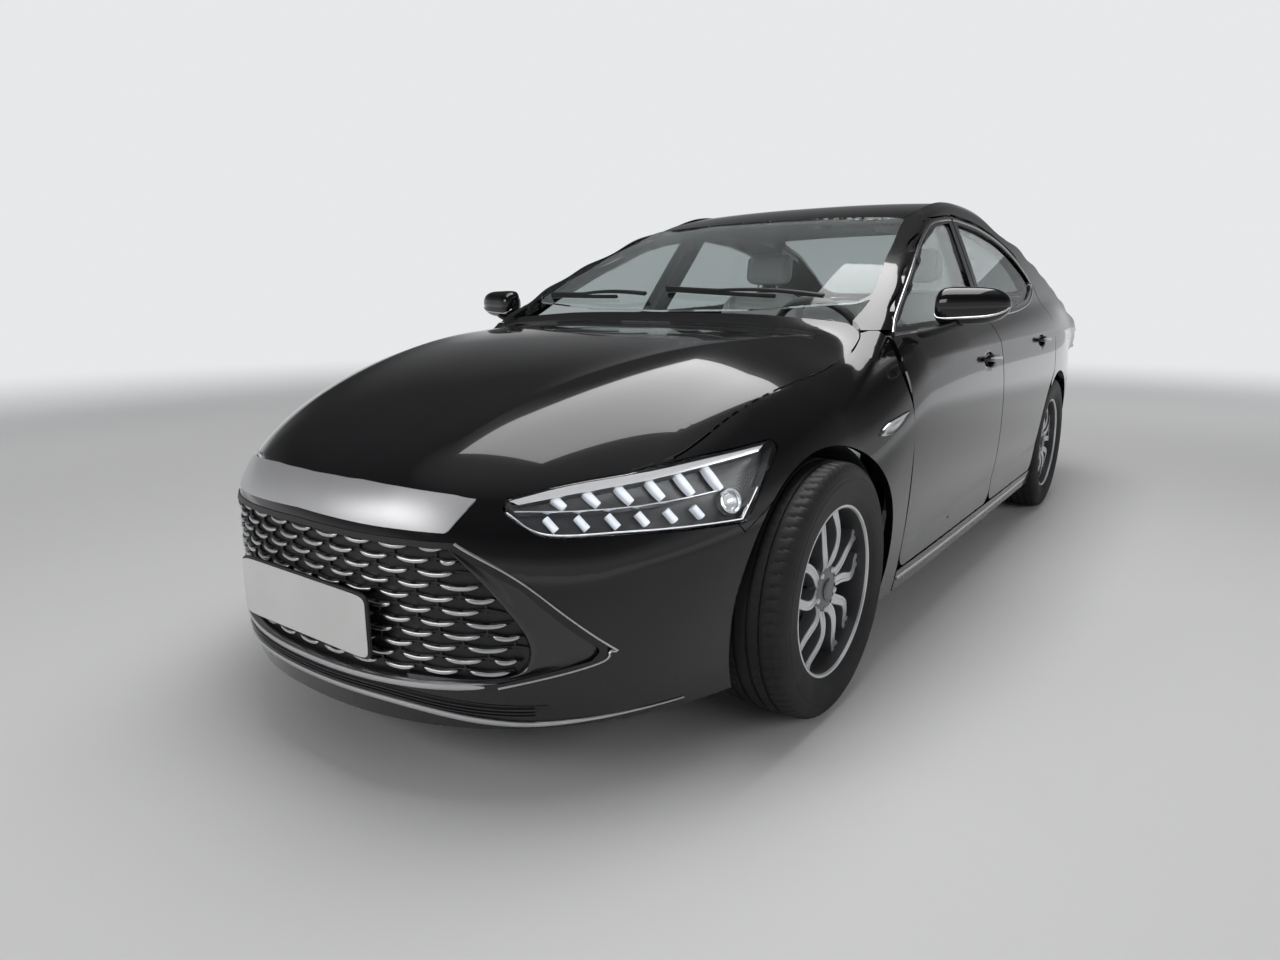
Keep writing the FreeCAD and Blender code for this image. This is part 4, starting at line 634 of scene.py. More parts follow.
def dart(side):
    """Plain ornament: rings of the outline, drawn in to the middle and raised like a shallow roof."""
    outline = run_through(DART, 64, closed=True)
    middle = outline.mean(0)
    rings = []
    for share, lift in DART_RINGS:
        ring = on_side(middle + (outline - middle) * share, side)
        rings.append(ring + out_of(whole_skin, ring) * lift)
    return np.array(rings)


for side, sign in SIDES:
    path = on_side(run_through(SILL_LINE, 90), sign)
    trim("sill_strip_" + side, [bead(whole_skin, path, SILL_STRIP)], bright_trim, "root")
    ornament = facing(surface("wing_dart_" + side, dart(sign), wrap_cols=True), (0, sign, 0))
    fit(sharpened(ornament, 50), bright_trim, "root")

# --- Tyres --------------------------------------------------------------------------------------
# Road tyres of moulded rubber: four grooves round the tread, cross cuts that run out over the
# shoulders, and fine ribs on the plain walls.
AXLES = (("front", 1.450), ("rear", -1.268))
WHEEL_Y, AXLE_Z, TREAD_R = 0.790, 0.334, 0.334
TYRE_STEPS, BLOCKS = 432, 72
WALL = [(0.2235, 0.086), (0.2245, 0.0945), (0.2330, 0.0985), (0.2400, 0.1010), (0.2440, 0.1035), (0.2470, 0.1035),
        (0.2500, 0.1045), (0.2640, 0.1068), (0.2860, 0.1075), (0.2885, 0.1075), (0.2900, 0.1066), (0.2960, 0.1062),
        (0.2975, 0.1068), (0.3000, 0.1060), (0.3100, 0.1035), (0.3190, 0.0990), (0.3262, 0.0925), (0.3300, 0.0850)]
SHOULDER_R, SHOULDER_Y = (0.3308, 0.3326), (0.081, 0.062)
GROOVES, GROOVE_HALF, GROOVE_DEPTH = (0.018, 0.050), 0.0042, 0.0065
GROOVE_EDGE, CUT_EDGE = 0.0006, 0.0007
SIPE_DEPTH, SIPE_SLANT, SIPE_SHIFT = 0.004, 60, 0.7


def groove_shape(y, centre):
    """1 inside a groove and 0 outside it, with steep sides."""
    return 1 - smooth_step(np.abs(np.abs(y) - centre), GROOVE_HALF - GROOVE_EDGE, GROOVE_HALF + GROOVE_EDGE)


def around(x, side, r, y, turn):
    """Points at radius r and width y about a wheel's axle, turned by an angle from straight up."""
    return np.stack([x + r * np.sin(turn), side * (WHEEL_Y + y), AXLE_Z + r * np.cos(turn)], -1)


def tyre_surface(x, side):
    """Tyre as radius and y over angle: the wall's section, then a crowned tread whose radius drops in the cuts."""
    half = np.array(WALL)
    cuts = np.sort([g + s * GROOVE_HALF + edge for g in GROOVES for s in (-1, 1) for edge in (-CUT_EDGE, CUT_EDGE)])
    across = np.concatenate([-cuts[::-1], [0.0], cuts])
    tread = np.stack([TREAD_R - 0.45 * across ** 2, across], -1)
    shoulder = np.stack([np.linspace(*SHOULDER_R, 4), np.linspace(*SHOULDER_Y, 4)], -1)
    section = np.vstack([half * (1, -1), shoulder * (1, -1), tread, shoulder[::-1], half[::-1], [[0.2225, 0.0]]])
    turn = np.linspace(0, 2 * np.pi, TYRE_STEPS, endpoint=False)[:, None]
    r, y = section[:, 0][None], section[:, 1][None]
    on_tread = smooth_step(r, 0.318, 0.327)
    rings = sum(groove_shape(y, g) for g in GROOVES)
    wave = np.sin(BLOCKS * turn + SIPE_SLANT * np.abs(y) + SIPE_SHIFT * np.sign(y) * side)
    sipes = smooth_step(wave, 0.70, 0.90) * smooth_step(np.abs(y), 0.022, 0.027)
    r = r - on_tread * np.maximum(GROOVE_DEPTH * rings, SIPE_DEPTH * sipes)
    return around(x, side, r, y + 0 * turn, turn)[::side]


rubber = dusted(made_of("tyre_rubber", (0.020, 0.020, 0.021), 0.0016, 0.35, 0.30, Roughness=0.62,
                        Specular_IOR_Level=0.35), Clean=0.52, Dusty=0.85, Top=0.60)
for side, sign in SIDES:
    for axle, x in AXLES:
        corner = axle + "_" + side
        tyre = surface("rubber_" + corner, tyre_surface(x, sign), wrap_rows=True, wrap_cols=True)
        fit(sharpened(tyre, 50), rubber, "wheel_" + corner, "tyre_" + corner)

# --- Alloy wheels -------------------------------------------------------------------------------
# Cast alloy with five pairs of slim spokes. The casting is painted dark grey, and the spokes' faces
# are turned bright on a lathe and lacquered. The barrel behind is plain grey.
SPOKE_PAIRS, SPOKE_STEPS = 5, 34
SPOKE_ROOT_R, SPOKE_TIP_R, SPOKE_SCALE = 0.058, 0.2175, 0.0100
SPOKE_SECTION = np.array([[-1.0, -3.0], [-1.0, -0.5], [-0.94, -0.18], [-0.82, 0.0], [-0.34, 0.0], [-0.22, -0.14],
                          [0.22, -0.14], [0.34, 0.0], [0.82, 0.0], [0.94, -0.18], [1.0, -0.5], [1.0, -3.0]])
SPOKE_BRIGHT = (2, 3, 4, 5, 6, 7, 8)
LIP = [(0.2100, -0.0500), (0.2090, 0.0000), (0.2120, 0.0400), (0.2160, 0.0760), (0.2238, 0.0860), (0.2238, 0.0940),
       (0.2205, 0.0950), (0.2172, 0.0935), (0.2150, 0.0880), (0.2125, 0.0800), (0.2115, 0.0660), (0.2080, 0.0400),
       (0.2030, 0.0100), (0.2030, -0.0400), (0.2100, -0.0780), (0.2235, -0.0860), (0.2235, -0.0950),
       (0.2165, -0.0940), (0.2165, -0.0800)]
LIP_BRIGHT = (5, 6, 7)
CAP = [(0.0600, 0.0452), (0.0770, 0.0460), (0.0770, 0.0480), (0.0740, 0.0560), (0.0600, 0.0640), (0.0420, 0.0680),
       (0.0330, 0.0685), (0.0292, 0.0700), (0.0290, 0.0735), (0.0265, 0.0757), (0.0180, 0.0772), (0.0000, 0.0775)]
NUT_CIRCLE, NUT_RADIUS, NUT_Y = 0.054, 0.0095, 0.062
NUT_RINGS = ((-0.006, 1.0), (0.006, 1.0), (0.009, 0.72), (0.0092, 0.3))


def welded(thing):
    """Close a surface's poles by merging the points that lie together."""
    return reworked(thing, lambda shell: bmesh.ops.remove_doubles(shell, verts=shell.verts, dist=1e-6))


def lathe(section, x, side, steps):
    """Surface turned about the axle from (radius, y) points."""
    section = np.asarray(section, float)
    turn = np.linspace(0, 2 * np.pi, steps, endpoint=False)[:, None]
    return around(x, side, section[:, 0][None], section[:, 1][None] + 0 * turn, turn)[::side]


def spoke(x, side, pair, lean):
    """Spoke along a flattened S: its angle from the pair's middle opens, closes and opens again with radius."""
    t = np.linspace(0, 1, SPOKE_STEPS)
    r = SPOKE_ROOT_R + (SPOKE_TIP_R - SPOKE_ROOT_R) * t
    offset = 0.015 + 0.016 * t + 0.022 * np.sin(np.pi * t) ** 2 + 0.012 * smooth_step(t, 0.45, 1.0)
    offset = offset + lean * 0.006 * np.sin(2 * np.pi * t)
    turn = 2 * np.pi * pair / SPOKE_PAIRS + lean * np.arctan2(offset, r)
    depth = 0.0660 + 0.0125 * np.sin(np.pi * np.clip(t * 1.15, 0, 1) ** 0.8) - 0.002 * t
    half = 0.0160 - 0.0030 * np.sin(np.pi * t) + 0.006 * smooth_step(t, 0.80, 1.0)
    return carry(around(x, side, r, depth, turn), np.tile([0.0, side, 0.0], (SPOKE_STEPS, 1)),
                 SPOKE_SECTION * SPOKE_SCALE * (1, 0.85), size=half / SPOKE_SCALE)


def nut(x, side, turn):
    """Six-sided wheel nut: rings that shrink to a low crown."""
    centre = around(x, side, NUT_CIRCLE, NUT_Y, turn)
    b = np.linspace(0, 2 * np.pi, 6, endpoint=False)
    ring = np.stack([np.sin(b), 0 * b, np.cos(b)], -1)[::-side]
    return np.array([centre + ring * r * NUT_RADIUS + (0, side * out, 0) for out, r in NUT_RINGS])


casting = made_of("painted_casting", (0.150, 0.152, 0.158), 0.0006, 0.10, 0.20, Metallic=0.40, Roughness=0.40,
                  Coat_Weight=0.5, Coat_Roughness=0.06)
turned_alloy = made_of("turned_alloy", (0.70, 0.71, 0.73), 0.0005, 0.12, 0.12, Metallic=0.60, Roughness=0.36,
                       Coat_Weight=0.6, Coat_Roughness=0.05)
barrel_grey = made_of("barrel_grey", (0.10, 0.10, 0.105), 0.001, 0.15, 0.3, Metallic=0.6, Roughness=0.5)
for side, sign in SIDES:
    for axle, x in AXLES:
        corner = axle + "_" + side
        body = "wheel_" + corner
        barrel = surface("barrel_" + corner, lathe(LIP, x, sign, 160), wrap_rows=True, wrap_cols=True)
        columns = np.arange(len(barrel.data.polygons)) % len(LIP)
        barrel.data.polygons.foreach_set("material_index", np.isin(columns, LIP_BRIGHT).astype(int))
        fit(sharpened(barrel, 40), barrel_grey, body)
        pairs = [spoke(x, sign, pair, lean) for pair in range(SPOKE_PAIRS) for lean in (-1, 1)]
        spokes = strips("spokes_" + corner, pairs, second=SPOKE_BRIGHT)
        fit(sharpened(spokes, 25), casting, body, "rim_" + corner)
        for piece in (barrel, spokes):
            piece.data.materials.append(turned_alloy)
        cap = welded(surface("hub_cap_" + corner, lathe(CAP, x, sign, 96), wrap_rows=True))
        fit(sharpened(cap), casting, body)
        nuts = [nut(x, sign, 2 * np.pi * (k + 0.5) / SPOKE_PAIRS) for k in range(SPOKE_PAIRS)]
        trim("wheel_nuts_" + corner, nuts, turned_alloy, body, 25)

# --- Grille -------------------------------------------------------------------------------------
# A black moulded lattice with short bright dashes snapped on in staggered rows, smooth gloss black
# cheeks beside them, a thin bright line round the opening and a broad satin strip along its foot.
END_START, END_REACH = 1.2, 1.6


def on_end(points, depth=0.0, end=1):
    """Points (y, z) of a front view (end 1) or rear view (end -1) set on the skin, some depth under it."""
    p = np.asarray(points, float)
    start = np.stack([np.full(p.shape[:-1], END_START * end), p[..., 0] * 0.55, p[..., 1]], -1)
    aim = np.stack([np.full(p.shape[:-1], 1.0 * end), p[..., 0] * 0.45, 0 * p[..., 0]], -1)
    for _ in range(4):
        at = hit(lower_body, start, aim, reach=END_REACH)
        aim[..., 1] += (p[..., 0] - at[..., 1]) / np.maximum(end * at[..., 0] - END_START, 0.1)
    return at - out_of(lower_body, at) * depth


def half_round(half, proud, foot):
    """Section of a light bar or dash: half an ellipse over straight sides that are sunk under the skin."""
    a = np.linspace(0, np.pi, 7)
    return np.vstack([np.stack([-np.cos(a) * half, np.sin(a) * proud], -1), [[half, -foot], [-half, -foot]]])


def tapered(count, thin, reach):
    """Sizes along a strip: thin at both ends and full beyond a share of its length."""
    from_end = np.minimum(np.arange(count), np.arange(count)[::-1]) / count
    return thin + (1 - thin) * smooth_step(from_end, 0, reach)


FIELD_LOW, FIELD_HIGH, ROW_PITCH, DASH_PITCH = 0.300, 0.574, 0.0270, 0.0940
FIELD_EDGE = np.array([(0.300, 0.505), (0.362, 0.536), (0.478, 0.478), (0.575, 0.385), (0.600, 0.360)])
DASH_LONG, DASH_SAG, DASH_SHORTEST, DASH_SINK = 0.070, 0.006, 0.022, 0.0105
DASH_SECTION = half_round(0.00525, 0.0044, 0.008)
LATTICE_DEPTH, LATTICE_PAST, WAVE_HIGH, WAVE_LIFT = 0.0150, 0.008, 0.0045, 0.0035
RIB = np.array([(-0.5, -1.0), (-0.5, -0.1), (-0.3, 0.0), (0.3, 0.0), (0.5, -0.1), (0.5, -1.0)]) * (0.0060, 0.012)


def field_half(z):
    """Half width of the lattice at a height."""
    return np.interp(z, FIELD_EDGE[:, 0], FIELD_EDGE[:, 1])


def dash(y0, y1, z):
    """Smile-shaped bar: a half-round section that swells to the middle of a sagging line."""
    t = np.linspace(-1, 1, 13)
    line = np.stack([(y0 + y1) / 2 + (y1 - y0) / 2 * t, z + DASH_SAG * t ** 2], -1)
    return bead(lower_body, on_end(line, DASH_SINK), DASH_SECTION, 0.22 + 0.78 * (1 - t ** 4) ** 0.6)


satin = made_of("satin_metal", (0.60, 0.60, 0.61), 0.0012, 0.05, 0.08, Metallic=1.0, Roughness=0.30)
lattice_black = made_of("lattice_black", (0.012, 0.012, 0.013), 0.0012, 0.15, 0.2, Roughness=0.42,
                        Specular_IOR_Level=0.5)
cheek_black = made_of("cheek_black", (0.012, 0.012, 0.014), 0.0009, 0.04, 0.15, Roughness=0.30, Coat_Weight=0.6,
                      Coat_Roughness=0.08)
paint_with(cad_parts["grille"], lattice_black)

dashes, lattice = [], []
rows = np.arange(FIELD_LOW, FIELD_HIGH + 1e-6, ROW_PITCH)
for k, z in enumerate(rows):
    half, shift = field_half(z), 0.5 * (k % 2)
    middles = (np.arange(-7, 7) + shift) * DASH_PITCH
    for y0, y1 in zip(np.maximum(middles - DASH_LONG / 2, -half), np.minimum(middles + DASH_LONG / 2, half)):
        if y1 - y0 > DASH_SHORTEST:
            dashes.append(dash(y0, y1, z))
    y = np.linspace(-half - LATTICE_PAST, half + LATTICE_PAST, 60)
    wave = WAVE_HIGH * np.cos((y / DASH_PITCH - shift) * 2 * np.pi)
    path = on_end(np.stack([y, z + WAVE_LIFT - wave], -1), LATTICE_DEPTH)
    lattice.append(bead(lower_body, path, RIB))
    if k + 1 < len(rows):
        for y in (np.arange(-7, 7) + 0.5 + shift) * DASH_PITCH:
            if abs(y) < field_half(z + ROW_PITCH / 2) - 0.01:
                upright = np.stack([np.full(5, y), np.linspace(z, z + ROW_PITCH, 5)], -1)
                lattice.append(bead(lower_body, on_end(upright, LATTICE_DEPTH + 0.001), RIB))
trim("grille_dashes", dashes, satin, "root", 50)
trim("grille_lattice", lattice, lattice_black, "root")

CHEEK_INNER = [(0.388, 0.583), (0.478, 0.478), (0.536, 0.362), (0.500, 0.296), (0.300, 0.290)]
CHEEK_OUTER = [(0.412, 0.579), (0.526, 0.500), (0.648, 0.352), (0.628, 0.322), (0.478, 0.281), (0.300, 0.274)]
CHEEK_DEPTH = np.concatenate([[0.026, 0.008], 0.006 + 0.003 * np.sin(np.pi * np.linspace(0, 1, 9)), [0.012]])


def cheek(side):
    """Smooth panel between the lattice's slanting edge and the opening's outer line, slightly hollow."""
    inner, outer = run_through(CHEEK_INNER, 40), run_through(CHEEK_OUTER, 40)
    flat = inner + (outer - inner) * np.linspace(0, 1, 12)[:, None, None]
    return on_end(flat * (side, 1), CHEEK_DEPTH[:, None, None])


FRAME_LINE = [(0.412, 0.5835), (0.530, 0.5035), (0.6570, 0.3560), (0.6555, 0.3440), (0.6340, 0.3185), (0.485, 0.2745)]
FOOT_STRIP = [(-0.500, 0.2790), (-0.300, 0.2700), (0.000, 0.2690), (0.300, 0.2700), (0.500, 0.2790)]
frame_runs = []
for side, sign in SIDES:
    fit(facing(surface("grille_cheek_" + side, cheek(sign)), (1, 0, 0)), cheek_black, "root")
    path = on_end(run_through(FRAME_LINE, 90) * (sign, 1), 0.001)
    frame_runs.append(bead(lower_body, path, crowned(0.0075, 0.0050, sink=0.006)))
path = on_end(run_through(FOOT_STRIP, 120), 0.001)
frame_runs.append(bead(lower_body, path, crowned(0.019, 0.0060, sink=0.010), tapered(120, 0.45, 0.10)))
trim("grille_line", frame_runs, satin, "root")

# --- Nose bar, lower intake and lip -------------------------------------------------------------
# A plain satin bar of cast metal over the grille. Under the grille lie a black moulded intake band
# with ribs, and a bright lip that sweeps out and down.
bar_satin = made_of("bar_satin", (0.56, 0.56, 0.575), 0.0010, 0.04, 0.06, Metallic=0.70, Roughness=0.40)
fit(skinned("nose_bar", "grille_bar", lower_body, lay=False), bar_satin, "root", "grille_bar")

HALF_LIP = [(0.000, 0.2285), (0.200, 0.2270), (0.320, 0.2170), (0.450, 0.1950), (0.534, 0.1850), (0.610, 0.1855),
            (0.673, 0.1890), (0.735, 0.1920)]
LIP_LINE = [(-y, z) for y, z in HALF_LIP[:0:-1]] + HALF_LIP
path = on_end(run_through(LIP_LINE, 161), -0.002)
trim("lower_lip", [bead(lower_body, path, crowned(0.017, 0.0060, sink=0.006), tapered(161, 0.25, 0.22))], satin,
     "root")

BAND_HALF, BAND_HIGH, BAND_LOW, BAND_PROUD, BAND_EDGE = 0.560, 0.2600, 0.2330, 0.0012, 0.0016
y = np.linspace(-BAND_HALF, BAND_HALF, 90)
fall = smooth_step(np.abs(y), 0.20, BAND_HALF)
high, low = BAND_HIGH - 0.030 * fall, BAND_LOW - 0.034 * fall
foot = low + 0.012 * smooth_step(np.abs(y), 0.48, BAND_HALF)
band = [on_end(np.stack([y, high + (foot - high) * share], -1), -proud) for share, proud in
        ((0.0, BAND_PROUD), (0.06, BAND_EDGE), (0.10, BAND_PROUD), (0.5, BAND_PROUD), (0.90, BAND_PROUD),
         (0.94, BAND_EDGE), (1.0, BAND_PROUD))]
fit(facing(surface("intake_slot", np.array(band)), (1, 0, 0)), lattice_black, "root")
ribs = [bead(lower_body, on_end(np.stack([y * 0.96, high + (low - high) * share], -1), -0.001),
             crowned(0.0035, 0.0045)) for share in (0.25, 0.5, 0.75)]
trim("intake_ribs", ribs, cheek_black, "root")

# --- Headlamps ----------------------------------------------------------------------------------
# Clear polycarbonate lenses bonded over a dark housing. Inside are a satin upper blade, two rows of
# slanting light fins with a faint painted glow, thin silver lines and a projector at the outer end.
DIAGONAL = np.array([-1.0, 1.0, 0.0]) / 2 ** 0.5
AHEAD = np.array([1.0, 1.0, 0.0]) / 2 ** 0.5
LAMP_START, LAMP_REACH, LAMP_DEEP = 1.30, 1.2, 0.040
LAMP_TOP = [(-0.609, 0.743), (-0.783, 0.727), (-0.936, 0.709), (-1.087, 0.693), (-1.221, 0.668)]
LAMP_FOOT = [(-0.600, 0.728), (-0.647, 0.652), (-0.693, 0.581), (-0.947, 0.588), (-1.145, 0.591), (-1.228, 0.642)]
BLADE_TOP = [(-0.622, 0.7370), (-0.783, 0.7225), (-0.936, 0.7045), (-1.087, 0.6885), (-1.216, 0.6640)]
BLADE_LOW = [(-0.640, 0.7240), (-0.783, 0.7080), (-0.936, 0.6880), (-1.087, 0.6710), (-1.196, 0.6560)]
FOOT_LINE = [(-0.652, 0.6500), (-0.697, 0.5870), (-0.947, 0.5935), (-1.140, 0.5970), (-1.222, 0.6420)]
MID_LINE = [(-0.760, 0.6560), (-0.860, 0.6480), (-0.960, 0.6420), (-1.080, 0.6400), (-1.205, 0.6440)]
EYE = [(-0.7150, 0.6300)]
EYE_RINGS = np.array([(0.0000, 0.0165), (0.0080, 0.0158), (0.0150, 0.0130), (0.0200, 0.0080), (0.0215, 0.0060),
                      (0.0225, 0.0120), (0.0250, 0.0150), (0.0285, 0.0140), (0.0300, 0.0020), (0.0300, -0.0040)])


def on_lamp(points, side, depth=0.0):
    """Points (along, z) of the lamp's own diagonal view set on the skin, some depth under it."""
    p = np.asarray(points, float)
    start = LAMP_START * AHEAD + p[..., :1] * DIAGONAL * 0.72
    start[..., 2] = p[..., 1]
    aim = AHEAD + 0 * start
    for _ in range(4):
        at = hit(lower_body, start, aim, reach=LAMP_REACH)
        run = np.maximum((at - start) @ AHEAD, 0.05)
        aim = aim + ((p[..., 0] - at @ DIAGONAL) / run)[..., None] * DIAGONAL
    return (at - out_of(lower_body, at) * depth) * (1, side, 1)


def lamp_out(at, side):
    """Skin normals at points of either lamp, worked out on the left side."""
    return out_of(lower_body, at * (1, side, 1)) * (1, side, 1)


def lamp_sheet(name, high, low, shares, depths, side):
    """Sheet between two lines of the lamp's view, each line across it at its own depth."""
    flat = high + (low - high) * np.array(shares)[:, None, None]
    return facing(surface(name, on_lamp(flat, side, np.array(depths)[:, None, None])), (1, 0.3 * side, 0.1))


def light_fin(side, along, up, depth, section, size=1.0):
    """Light bar on a short slanting line inside the lamp."""
    path = on_lamp(np.stack([along, up], -1), side, depth)
    return carry(path, lamp_out(path, side), section, size)


def walled(thing, label, thickness):
    """Give an open sheet a wall that grows inwards."""
    wall = thing.modifiers.new(label, "SOLIDIFY")
    wall.thickness, wall.offset = thickness, -1.0
    return thing


def keep_outer(shell):
    """Leave only the faces of a lens that lie on the skin and look out."""
    shell.faces.ensure_lookup_table()
    middles = np.array([f.calc_center_median() for f in shell.faces])
    normals = np.array([f.normal for f in shell.faces])
    outer = (np.abs(lower_body(middles)) < 0.004) & ((normals * out_of(lower_body, middles)).sum(1) > 0.6)
    bmesh.ops.delete(shell, geom=[f for f, keep in zip(shell.faces, outer) if not keep], context="FACES")


lens_clear = window_glass("lens_clear", (0.97, 0.975, 0.98))
housing_dark = made_of("housing_dark", (0.030, 0.031, 0.034), 0.0008, 0.05, 0.2, Roughness=0.28, Metallic=0.2,
                       Coat_Weight=0.3, Coat_Roughness=0.1)
# The light fins' faint emission is a painted glow that lifts them above their own pale colour.
fin_light = made_of("fin_light", (0.72, 0.75, 0.80), 0.001, 0.05, 0.05, Roughness=0.22, Metallic=0.0,
                    Specular_IOR_Level=0.6, Emission_Color=(0.80, 0.85, 0.92, 1), Emission_Strength=0.10)
reflector = made_of("reflector", (0.70, 0.71, 0.73), 0.002, 0.02, 0.05, Metallic=1.0, Roughness=0.10)

lens = reworked(skinned("headlamp_lenses", "headlamps", lower_body, lay=False), keep_outer)
fit(walled(lens, "lens_wall", 0.0025), lens_clear, "root", "headlamps")

for side, sign in SIDES:
    tray = lamp_sheet("lamp_tray_" + side, run_through(LAMP_TOP, 70), run_through(LAMP_FOOT, 70),
                      [0.0, 0.0, 0.06, 0.5, 0.94, 1.0, 1.0],
                      [0.004, 0.030, LAMP_DEEP, LAMP_DEEP, LAMP_DEEP, 0.030, 0.004], sign)
    fit(tray, housing_dark, "root")
    blade = lamp_sheet("lamp_blade_" + side, run_through(BLADE_TOP, 60), run_through(BLADE_LOW, 60),
                       [0.0, 0.03, 0.5, 0.97, 1.0], [0.030, 0.0065, 0.0055, 0.0075, 0.034], sign)
    fit(sharpened(blade), satin, "root")

    fins = []
    for k in range(6):
        u = -0.752 - 0.072 * k
        foot_z = np.interp(-u, [0.752, 1.205], [0.660, 0.648])
        fins.append(light_fin(sign, u + np.linspace(0.012, -0.026, 9),
                              foot_z + np.linspace(0, 0.052 * (1.0 - 0.07 * k), 9), 0.020,
                              half_round(0.0090, 0.006, 0.016), 0.75 + 0.25 * np.sin(np.linspace(0.3, 2.6, 9))))
    for k in range(6):
        u = -0.800 - 0.066 * k
        fins.append(light_fin(sign, u + np.linspace(0.010, -0.012, 7), np.linspace(0.606, 0.632, 7), 0.022,
                              half_round(0.0075, 0.005, 0.014)))
    trim("lamp_fins_" + side, fins, fin_light, "root", 45)

    lines = []
    for line, wide in ((MID_LINE, 0.0042), (FOOT_LINE[1:], 0.0060), (FOOT_LINE[:2], 0.0060)):
        path = on_lamp(run_through(line, 60), sign, 0.010)
        lines.append(carry(path, lamp_out(path, sign), crowned(wide, 0.004, sink=0.020)))
    trim("lamp_line_" + side, lines, reflector, "root")

    eye = on_lamp(EYE, sign, 0.034)
    out = lamp_out(eye, sign)[0]
    level = np.cross(out, (0, 0, 1))
    level /= np.linalg.norm(level)
    a = np.linspace(0, 2 * np.pi, 64, endpoint=False)[:, None, None]
    circle = np.cos(a) * level + np.sin(a) * np.cross(level, out)
    projector = surface("lamp_projector_" + side, eye[0] + circle * EYE_RINGS[None, :, :1]
                        + out * EYE_RINGS[None, :, 1:], wrap_rows=True)
    fit(sharpened(facing(welded(projector), out), 30), reflector, "root")

# --- Door mirrors and handles -------------------------------------------------------------------
# Moulded mirror heads on slim arms, with lacquered caps, a bright line and silvered glass behind.
# The door handles are body-coloured pulls with a bright blade over a finger cup in the door.
MIRROR_ROOT_Y, MIRROR_TIP_Y, MIRROR_X, MIRROR_Z = 0.884, 1.088, 0.768, 1.040
MIRROR_FRONT, MIRROR_REAR, MIRROR_TALL = 0.058, 0.040, 0.060
GLASS_X, GLASS_Y, GLASS_WIDE, GLASS_HIGH = MIRROR_X - 0.0395, 0.986, 0.080, 0.043
HANDLE_HALF, HANDLE_SINK, HANDLE_BOW = 0.098, 0.004, 0.020


def squared(values, power):
    """Values raised to a power with their sign kept."""
    return np.sign(values) * np.abs(values) ** power


def ring_section(count, half, high, power=1.0):
    """Closed oval section; a power under one squares it off sideways."""
    a = np.linspace(0, 2 * np.pi, count, endpoint=False)
    return np.stack([-squared(np.cos(a), power) * half, np.sin(a) * high], -1)


def mirror_head(side):
    """Tapering head: sections across y are rounded in front and flat behind, drawn in at both ends."""
    v = (1 - np.cos(np.linspace(0, np.pi, 40)))[:, None] / 2
    u = np.linspace(0, 2 * np.pi, 56, endpoint=False)[None]
    ends = (1 - np.abs(2 * v - 1) ** np.where(v > 0.5, 3.2, 7.0)) ** np.where(v > 0.5, 0.5, 0.30)
    front = MIRROR_FRONT * (1 - 0.30 * v) * ends
    rear = MIRROR_REAR * (1 - 0.15 * v) * ends
    tall = MIRROR_TALL * (1 - 0.18 * v) * ends
    c, s = np.cos(u), np.sin(u)
    x = MIRROR_X + 0.012 - 0.022 * v + np.where(c > 0, front * np.abs(c) ** 0.85, -rear * np.abs(c) ** 0.35)
    z = MIRROR_Z + 0.006 * v + tall * squared(s, 0.80)
    y = side * (MIRROR_ROOT_Y + (MIRROR_TIP_Y - MIRROR_ROOT_Y) * v + 0 * u)
    return np.stack([x, y, z], -1)[:, ::-side]


